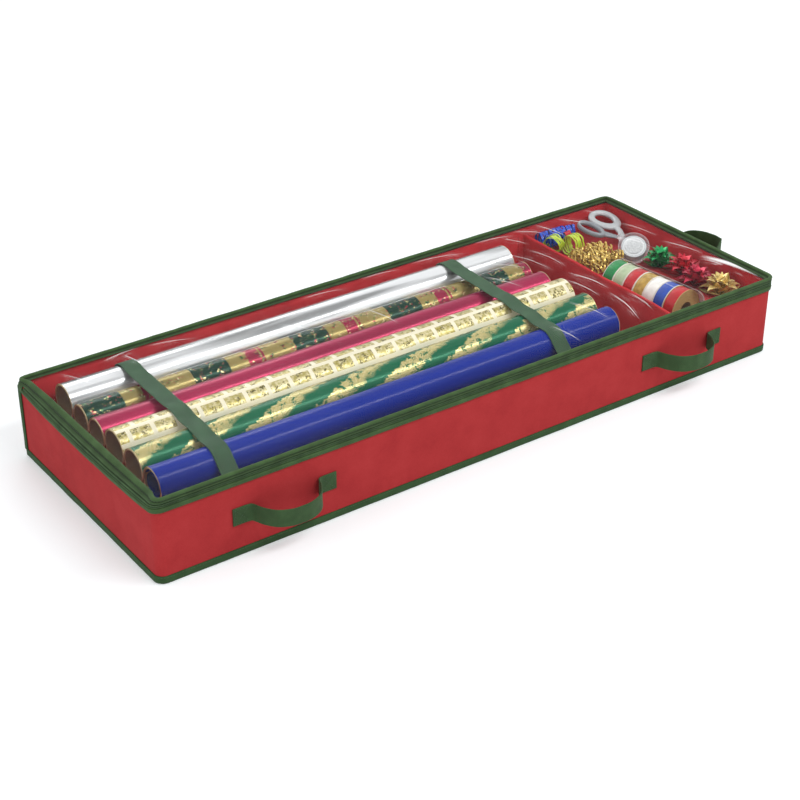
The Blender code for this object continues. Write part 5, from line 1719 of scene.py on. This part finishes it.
@dataclass
class RibbonSpool:
    """Ribbon wound on a card spool."""

    name: str
    finish: Finish
    end_card: Finish
    flange: float = 0.031
    ribbon: float = 0.0300
    bore: float = 0.012
    wide: float = 0.0198
    card: float = 0.0008
    heading: float = math.radians(6.3)

    def build(self) -> None:
        """Make the two flanges, the bore and the wound ribbon."""
        node = "ribbon_spool_" + self.name
        low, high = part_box(node)
        centre = (Vector(low) + Vector(high)) / 2 + Vector((0, 0.0040, 0))
        way = Vector((math.sin(self.heading), -math.cos(self.heading), 0))
        place = Matrix.Translation(centre) @ way.to_track_quat("Z", "Y").to_matrix().to_4x4()
        half, soft = self.wide / 2, 0.0003
        face = half - self.card
        section = [
            (self.bore, -half, 1), (self.flange - soft, -half, 1), (self.flange, soft - half, 1),
            (self.flange, -face, 1), (self.ribbon, -face, 1), (self.ribbon, -face, 0),
            (self.ribbon + soft, 0.0008 - face, 0), (self.ribbon + 0.0002, 0.0, 0), (self.ribbon + soft, face - 0.0008, 0),
            (self.ribbon, face, 0), (self.ribbon, face, 1), (self.flange, face, 1), (self.flange, half - soft, 1),
            (self.flange - soft, half, 1), (self.bore, half, 1), (self.bore, -half, 2),
        ]
        around = np.linspace(0, math.tau, 64, endpoint=False)
        finishes = [self.finish, self.end_card, CORE_INSIDE]
        spool = lathed("spool_" + self.name, section, finishes, place, around, wobble=0.00012)
        hand_in(spool, f"ribbon_spool_{self.name}_satin", node)


@dataclass
class StarBow:
    """A star bow: loops of foil ribbon in tiers about its middle."""

    name: str
    finish: Finish
    radius: float = 0.0325
    height: float = 0.0325
    loops: int = 17
    wide: float = 0.0185
    thick: float = 0.0003
    # The lining of the right wall, which the bow stays off.
    right_limit: float = 0.5068

    def build(self) -> None:
        """Make one loop, and set it round and up the bow."""
        low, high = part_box("bow_" + self.name)
        centre = (Vector(low) + Vector(high)) / 2
        centre.x = min(centre.x, self.right_limit - self.radius)
        loop = self.one_loop()
        values = {"Loop": loop, "Loops": self.loops, "Seed": 5 + len(self.name), "Smallest": 0.84,
                  "Lowest tilt": 0.16, "Highest tilt": 1.30}
        bow = grown("star_bow_" + self.name, BOW, values, self.finish)
        points = np.array([vertex.co[:] for vertex in bow.data.vertices])
        scale = self.radius / np.abs(points[:, :2]).max()
        tall = (self.height - 0.0005) / np.ptp(points[:, 2])
        move = Matrix.Translation((centre.x, centre.y + 0.004, low[2] + 0.0002 - points[:, 2].min() * tall))
        bow.data.transform(move @ Matrix.Diagonal((scale, scale, tall, 1)))
        bpy.data.objects.remove(loop)
        hand_in(bow, f"bow_{self.name}_ribbon", "bow_" + self.name)

    def one_loop(self) -> Piece:
        """One loop of ribbon, folded to a point at its tip.

        Returns:
            The loop, as an object outside the scene's pieces.
        """
        shape = ((0.0, 0.0), (0.28, 0.16), (0.58, 0.23), (0.86, 0.13), (1.0, 0.0), (0.84, -0.05), (0.48, -0.05),
                 (0.0, -0.0004 / self.radius))
        path = smooth_path(np.array(shape) * self.radius, 18)
        widths = np.interp(path[:, 0] / self.radius, [0, 0.3, 0.6, 0.88, 1.0], [0.35, 0.95, 0.85, 0.3, 0.03])
        side, depth = np.array([(-1, 0.0), (0.0, 0.5), (1, 0.0), (0.0, -0.5)]).T
        tangent = unit(np.gradient(path, axis=0))[:, None] * self.thick
        grid = spread(path[:, :1] - tangent[..., 1] * depth, side * widths[:, None] * self.wide / 2,
                      path[:, 1:] + tangent[..., 0] * depth)
        return Mesher().bar(grid).piece("bow_loop_" + self.name, [self.finish], 60)


@dataclass(frozen=True)
class Strand:
    """One strand of curled ribbon: how it winds, and where it starts."""

    turns: float
    radius: float
    pitch: float
    wide: float
    start: Point
    heading: float = 0.0
    unevenness: float = 0.008


@dataclass
class Curls:
    """A bunch of curled gift ribbon."""

    name: str
    finish: Finish
    strands: Sequence[Strand]
    slot: str
    nodes: tuple[str, ...] = ()

    def build(self) -> None:
        """Wind each strand, and join them."""
        whole = bmesh.new()
        for place, strand in enumerate(self.strands):
            values = {"Turns": strand.turns, "Radius": strand.radius, "Pitch": strand.pitch, "Wide": strand.wide,
                      "Thick": 0.0003, "Unevenness": strand.unevenness, "Seed": 3 + place}
            curl = grown(f"strand_{place}", CURL, values, self.finish)
            turn = Euler((0, math.pi / 2, math.radians(strand.heading))).to_matrix().to_4x4()
            curl.data.transform(Matrix.Translation(strand.start) @ turn @ Matrix.Rotation(place * 1.9, 4, "Z"))
            whole.from_mesh(curl.data)
            bpy.data.objects.remove(curl)
        mesh = bpy.data.meshes.new("curls_" + self.name)
        whole.to_mesh(mesh)
        whole.free()
        mesh.materials.append(self.finish.material())
        hand_in(settle(bpy.data.objects.new("curls_" + self.name, mesh)), self.slot, *self.nodes)


@dataclass
class ScissorsHalf:
    """One half of the scissors: a ground blade, a shank and a moulded finger loop."""

    name: str
    body: str
    side: int
    layer: int
    loop_across: float
    loop_rim: float
    grip: Finish
    loop_long: float = 0.0245
    pivot: Point = (0.4735, 0.0900, 0.089233)
    lean: Point = (math.radians(12.0), 0.0, math.radians(19.0))
    blade_wall: float = 0.0014
    blade_wide: float = 0.0085
    blade_long: float = 0.046
    blade_tip: float = 0.0014
    loop_middle: tuple[float, float] = (0.0215, 0.0530)
    loop_half_high: float = 0.0040

    def build(self) -> None:
        """Make the blade, the shank and the loop, and lay them in their place."""
        mesher = Mesher()
        self.blade(mesher)
        self.shank(mesher)
        self.loop(mesher)
        if self.layer < 0:
            # The pivot's domed head.
            head = ((0.0026, 0.0), (0.0026, 0.0015), (0.0044, 0.0016), (0.0044, 0.0022), (0.0036, 0.0027))
            mesher.bar(revolve(head, np.linspace(0, math.tau, 20, endpoint=False)), 1)
        half = mesher.piece("moulded_" + self.name, [self.grip, STEEL], 40)
        half.data.transform(Matrix.Translation(self.pivot) @ Euler(self.lean).to_matrix().to_4x4())
        hand_in(half, "scissors_grey", self.name, body=self.body)

    def blade(self, mesher: Mesher) -> None:
        """Add the blade, its long edges eased.

        Args:
            mesher: What it is added to.
        """
        half, long, tip = self.blade_wide / 2, self.blade_long, self.blade_tip
        outline = np.array([
            (-half, 0.006), (-half, self.blade_wide - long), (tip * 0.2, 0.002 - long), (tip, -long),
            (half * 0.6, -long * 0.75), (half, tip - long / 2), (half, 0.006),
        ]) * [self.side, 1]
        low, high = (self.layer + 0.12) * self.blade_wall, (self.layer + 0.88) * self.blade_wall
        middle = outline.mean(axis=0)
        mesher.bar(np.stack([
            spread(*(middle + (outline - middle) * share).T, height)
            for share, height in ((0.94, low), (1.0, low + 0.0003), (1.0, high - 0.0003), (0.94, high))
        ]), 1)

    def tube(self, path: np.ndarray, along: np.ndarray, wide: np.ndarray, high: np.ndarray) -> np.ndarray:
        """Carry a rounded section along a path.

        Args:
            path: Its middle, place by place.
            along: Its direction at each place, from above.
            wide: Half its width at each place.
            high: Half its height at each place.

        Returns:
            A grid with a row for each place.
        """
        around = np.linspace(0, math.tau, 14, endpoint=False)
        rounded, risen = (np.sign(part) * np.abs(part) ** 0.8 for part in (np.cos(around), np.sin(around)))
        across = unit(spread(along[:, 1], -along[:, 0], 0))
        grid = path[:, None] + across[:, None] * (wide[:, None] * rounded)[..., None]
        grid[..., 2] += high[:, None] * risen
        return grid

    def loop(self, mesher: Mesher) -> None:
        """Add the finger loop: an egg shape, thicker towards the pivot.

        Args:
            mesher: What it is added to.
        """
        turns = np.linspace(0, math.tau, 44, endpoint=False)
        reach_x, reach_y = self.loop_across - self.loop_rim / 2, self.loop_long - self.loop_rim / 2
        path = spread(
            self.side * self.loop_middle[0] + reach_x * np.cos(turns) * (1 + 0.12 * np.sin(turns)),
            self.loop_middle[1] + reach_y * np.sin(turns), self.blade_wall / 2,
        )
        heavy = 0.5 + 0.5 * np.cos(turns + math.pi / 2 + self.side * 0.7)
        along = np.roll(path, -1, axis=0) - np.roll(path, 1, axis=0)
        high = np.full(len(turns), self.loop_half_high)
        ring = self.tube(path, along, self.loop_rim / 2 * (0.9 + 0.45 * heavy), high)
        mesher.grid(ring, round_rows=True, round_columns=True)

    def shank(self, mesher: Mesher) -> None:
        """Add the shank between the loop and the blade.

        Args:
            mesher: What it is added to.
        """
        level = (self.layer + 0.5) * self.blade_wall
        low = self.loop_middle[1] - self.loop_long
        path = smooth_path([
            (self.side * self.loop_middle[0] * 0.86, low + 0.006, self.blade_wall / 2),
            (self.side * 0.0125, low - 0.006, self.blade_wall / 2),
            (self.side * 0.0050, 0.0095, level), (self.side * 0.0004, 0.0, level), (0.0, -0.006, level),
        ], 16)
        share = np.linspace(0, 1, len(path))
        wide = np.interp(share, [0, 0.5, 1], [0.0062, 0.0052, 0.0040])
        high = np.interp(share, [0, 0.35, 0.6, 1], [0.0038, 0.0026, 0.0006, 0.0005])
        mesher.bar(self.tube(path, np.gradient(path[:, :2], axis=0), wide, high))


@dataclass
class TapeHolder:
    """A roll of clear tape on a moulded dispenser that leans back."""

    centre: Point = (0.450, 0.048, 0.091441)
    lean: Point = (math.radians(34.0), 0.0, math.radians(-42.0))
    bore: float = 0.0100
    radius: float = 0.0195
    low: float = 0.0017
    high: float = 0.0137
    holder: float = 0.0240
    holder_high: float = 0.0150
    wall: float = 0.0011

    def build(self) -> None:
        """Make the roll, its label and the dispenser's rim, and clear the dispenser."""
        redress("tape_dispenser", CLEAR_STYRENE)
        place = Matrix.Translation(self.centre) @ Euler(self.lean).to_matrix().to_4x4()
        around = np.linspace(0, math.tau, 56, endpoint=False)
        high = self.high
        # Rings of wound film, clear and white by turns, then the white card core.
        section = [
            (self.bore, self.low, 1), (self.radius, self.low, 0), (self.radius, high - 0.0004, 0),
            (self.radius - 0.0004, high, 0), (0.0184, high, 0), (0.0176, high + 0.0001, 1), (0.0166, high, 0),
            (0.0158, high, 1), (0.0136, high, 1), (self.bore, high, 1), (self.bore, self.low, 1),
        ]
        roll = lathed("tape_roll_wound", section, [TAPE_FILM, TAPE_EDGE], place, around)
        hand_in(roll, "tape_roll_film", "tape_roll", body="tape")
        label = [(0.0006, high + 0.0004), (0.0110, high + 0.0004), (0.0133, high + 0.0006), (0.0137, high + 0.0010),
                 (0.0133, high + 0.0013), (0.0110, high + 0.0010), (0.0006, high + 0.0012)]
        disc = Mesher().bar(revolve(label, around)).piece("dispenser_label_disc", [FOIL_CARD], 35)
        inner = self.holder - self.wall
        wall = [(self.holder, 0.0), (self.holder, self.holder_high), (inner, self.holder_high), (inner, 0.0)]
        rim = revolve(wall, np.radians(np.linspace(-30, 190, 40)))
        mesher = Mesher().grid(rim, round_rows=True).cap(rim[:, 0]).cap(rim[:, -1])
        guard = mesher.piece("dispenser_rim_guard", [CLEAR_STYRENE], 35)
        for part in (disc, guard):
            part.data.transform(place)
            hand_in(part, "clear_styrene")


@dataclass
class ClearSleeve:
    """The clear sleeve that holds the ribbon spools together, open along their left."""

    first: Point = (0.3899, 0.0250, 0.0713)
    last: Point = (0.4058, -0.1255, 0.0713)
    radius: float = 0.0325
    thick: float = 0.0005

    def build(self) -> None:
        """Bend the sheet over the spools' right side."""
        start, end = np.array(self.first), np.array(self.last)
        way = unit(end - start)
        turns = np.radians(np.linspace(4, 66, 16))
        places = np.linspace(0.0, 1.0, 30)[:, None]
        middle = start + (end - start) * places
        bend = spread(-way[1] * np.cos(turns), way[0] * np.cos(turns), np.sin(turns))
        uneven = 0.0003 * waves(spread(places, turns), 0.4, 9)[..., None]
        near, far = (middle[:, None] + bend * (radius + uneven) for radius in (self.radius, self.radius + self.thick))
        sleeve = Mesher().bar(doubled(far, near)).piece("ribbon_pack_clear_sleeve", [CLEAR_SLEEVE], 40)
        hand_in(sleeve, "clear_pvc")


class Goods:
    """What is stored in the box."""

    def build(self) -> None:
        """Make the rolls, straps, boxes, spools, bows, curls, scissors and tape."""
        spools = {
            "green": ("#0C8A44", "#08703A"), "sage": ("#B4C4A2", "#9DB08C"), "scarlet": ("#C01220", "#A00E1A"),
            "gold": ("#C4A04A", "#8C6C24"), "white": ("#F2F1EC", "#DDDAD4"), "blue": ("#1C4CB4", "#163C94"),
            "red": ("#C01521", "#A0101B"),
        }
        bows = {"green": ("#16A35A", "#0C7F42"), "red": ("#D0203A", "#A8142A"), "crimson": ("#C62044", "#9C1434"),
                "gold": ("#EFDB96", "#CBAA54")}
        parts = [*ROLLS, ElasticStrap("left_strap", -0.371), ElasticStrap("right_strap", 0.1665)]
        parts += [GiftBox(node) for node in ("folded_gift_boxes", "gift_box_low", "gift_box_side", "gift_box_back")]
        for name, (colour, deep) in spools.items():
            card = KRAFT_GLITTER if name == "red" else WHITE_CARD
            parts.append(RibbonSpool(name, SatinRibbon("satin_ribbon_" + name, colour, deep, 0.38), card))
        parts.append(ClearSleeve())
        for name, (colour, deep) in bows.items():
            foil = SatinRibbon("foil_ribbon_" + name, colour, deep, 0.20, metal=0.45)
            parts.append(StarBow(name, foil, 0.0285 if name == "green" else 0.0325))
        parts += self.curls()
        parts += [
            ScissorsHalf("scissors_lower_half", "tray", 1, -1, 0.0248, 0.0105, GRIP_PALE, loop_long=0.0265),
            ScissorsHalf("scissors_upper_half", "scissors_upper", -1, 0, 0.0150, 0.0056, GRIP_GREY),
            TapeHolder(),
        ]
        for part in parts:
            part.build()
        redress("zipper_slider", GUNMETAL)
        redress("zipper_pull", GUNMETAL)

    def curls(self) -> list[Curls]:
        """Plan the bunches of curled ribbon: wide loose loops, and a mass of thin crinkled gold.

        Returns:
            The bunches.
        """
        dice = np.random.default_rng(14)
        crinkled = []
        for place in range(11):
            start = (0.3525 + 0.012 * dice.random(), 0.0985 - 0.0058 * place, 0.0845 + 0.0050 * (place % 3))
            crinkled.append(Strand(9.0, 0.0050 + 0.0016 * dice.random(), 0.0072, 0.0028, start,
                                   dice.uniform(-12, 12), 0.020))
        bunches = (
            ("blue", "#2350C8", "#163AA4", 0.22, 0.0, [
                Strand(6.5, 0.0120, 0.0066, 0.0044, (0.3520, 0.1620, 0.0925), -4),
                Strand(6.0, 0.0100, 0.0064, 0.0042, (0.3560, 0.1470, 0.0935), 6),
                Strand(4.5, 0.0095, 0.0060, 0.0042, (0.3930, 0.1600, 0.0960), -14),
            ]),
            ("red", "#CC1A2C", "#A61121", 0.24, 0.0, [
                Strand(2.5, 0.0075, 0.0060, 0.0050, (0.3870, 0.1420, 0.0955), 10),
            ]),
            ("lime", "#C3DB3E", "#9DB822", 0.24, 0.0, [
                Strand(5.2, 0.0148, 0.0044, 0.0030, (0.3500, 0.1280, 0.0940), 26),
                Strand(5.2, 0.0148, 0.0044, 0.0030, (0.3760, 0.1150, 0.0942), 10),
            ]),
            ("gold", "#DDBD66", "#A58436", 0.22, 0.5, crinkled),
        )
        made = []
        for name, colour, deep, roughness, metal, strands in bunches:
            finish = SatinRibbon("curling_ribbon_" + name, colour, deep, roughness, metal=metal)
            node = "curled_ribbon_" + name
            # The red bunch has no node of its own, and is passed the red bow's slot name.
            if name == "red":
                made.append(Curls(name, finish, strands, "bow_red_ribbon"))
            else:
                made.append(Curls(name, finish, strands, node + "_foil", (node,)))
        return made


@dataclass(frozen=True)
class Lamp:
    """A soft rectangular lamp, its long side along the box."""

    name: str
    place: Point
    watts: float
    size: tuple[float, float]
    aim_x: float

    def hang(self) -> None:
        """Hang it over the object."""
        data = bpy.data.lights.new(self.name, "AREA")
        data.shape = "RECTANGLE"
        data.energy = self.watts
        data.size, data.size_y = self.size
        lamp = bpy.data.objects.new(self.name, data)
        lamp.location = self.place
        lamp.rotation_euler = (Vector((self.aim_x, 0, 0.05)) - Vector(self.place)).to_track_quat("-Z", "Y").to_euler()
        bpy.context.scene.collection.objects.link(lamp)


@dataclass
class Studio:
    """The floor, the light and the camera."""

    floor_half: float = 14.0
    floor_level: float = -0.0004
    floor_glow: float = 0.28
    sky: float = 0.70
    lens: float = 77.4
    camera_place: Point = (-1.2507, -1.7094, 1.2201)
    camera_down: float = math.radians(29.97)
    camera_round: float = math.radians(35.58)
    # A long lamp, level with the rolls, gives each of them one line of light from end to end.
    lamps: tuple[Lamp, ...] = (
        Lamp("key", (0.9, -1.4, 2.1), 38, (2.8, 0.45), 0.9),
        Lamp("fill", (-2.4, -0.5, 1.1), 11, (1.2, 1.2), 0.0),
        Lamp("back", (0.4, 1.9, 1.5), 10, (1.4, 0.8), 0.2),
    )

    def build(self) -> None:
        """Set them up."""
        self.floor()
        self.light()
        self.camera()
        log.info("studio: floor, light and camera")

    def seen(self, tree: Tree) -> Node:
        """Add nodes that give 1 to the camera's rays and those off metal or through glass, and 0 to the rest.

        Args:
            tree: The tree that they go into.

        Returns:
            The last of them.
        """
        rays = add_node(tree, "ShaderNodeLightPath").outputs
        seen = add_node(tree, "ShaderNodeMath", {0: rays["Is Camera Ray"], 1: rays["Is Glossy Ray"]}, operation="MAXIMUM")
        return add_node(tree, "ShaderNodeMath", {0: seen, 1: rays["Is Transmission Ray"]}, operation="MAXIMUM")

    def floor(self) -> None:
        """A wide pale floor that keeps the shadow."""
        half, level = self.floor_half, self.floor_level
        corners = [(x, y, level) for x, y in ((-half, -half), (half, -half), (half, half), (-half, half))]
        mesh = bpy.data.meshes.new("floor")
        mesh.from_pydata(corners, [], [(0, 1, 2, 3)])
        floor = bpy.data.objects.new("floor", mesh)
        bpy.context.scene.collection.objects.link(floor)
        made = bpy.data.materials.new("matte_white_floor")
        tree = blank_tree(made)
        shader = add_node(tree, "ShaderNodeBsdfPrincipled", {"Base Color": linear("#DFE4E6"), "Roughness": 0.9})
        lift = add_node(tree, "ShaderNodeMath", {0: self.seen(tree), 1: self.floor_glow}, operation="MULTIPLY")
        glow = add_node(tree, "ShaderNodeEmission", {"Color": linear("#FFFFFF"), "Strength": lift})
        both = add_node(tree, "ShaderNodeAddShader", {0: shader, 1: glow})
        add_node(tree, "ShaderNodeOutputMaterial", {"Surface": both})
        mesh.materials.append(made)

    def light(self) -> None:
        """Soft white surroundings, and wide lamps at the front, the left and the back."""
        world = bpy.data.worlds.new("studio")
        bpy.context.scene.world = world
        tree = blank_tree(world)
        strength = add_node(tree, "ShaderNodeMapRange", {0: self.seen(tree), 3: self.sky, 4: 1.0})
        sky = add_node(tree, "ShaderNodeBackground", {"Color": linear("#FFFFFF"), "Strength": strength})
        add_node(tree, "ShaderNodeOutputWorld", {0: sky})
        for lamp in self.lamps:
            lamp.hang()

    def camera(self) -> None:
        """Stand where the photograph was taken from, for a square frame."""
        data = bpy.data.cameras.new("camera")
        data.sensor_fit = "HORIZONTAL"
        data.sensor_width = 36
        data.lens = self.lens
        data.clip_end = 60
        camera = bpy.data.objects.new("camera", data)
        camera.location = self.camera_place
        camera.rotation_euler = (math.pi / 2 - self.camera_down, 0, -self.camera_round)
        bpy.context.scene.collection.objects.link(camera)
        bpy.context.scene.camera = camera
        bpy.context.scene.view_settings.view_transform = "Standard"


def main() -> None:
    """Build the object's sub-assemblies in order, then the studio round them."""
    logging.basicConfig(level=logging.INFO, format="%(name)s: %(message)s")
    handles = (
        WebbingHandle("front_left", -0.3335), WebbingHandle("front_right", 0.3335),
        WebbingHandle("end", -0.008, on_end=True, height=0.0755, rise=0.028),
    )
    for assembly in (SoftBox(), ClearLid(), *handles, Goods(), Studio()):
        assembly.build()
        log.info("%s built", type(assembly).__name__)


if __name__ == "__main__":
    main()
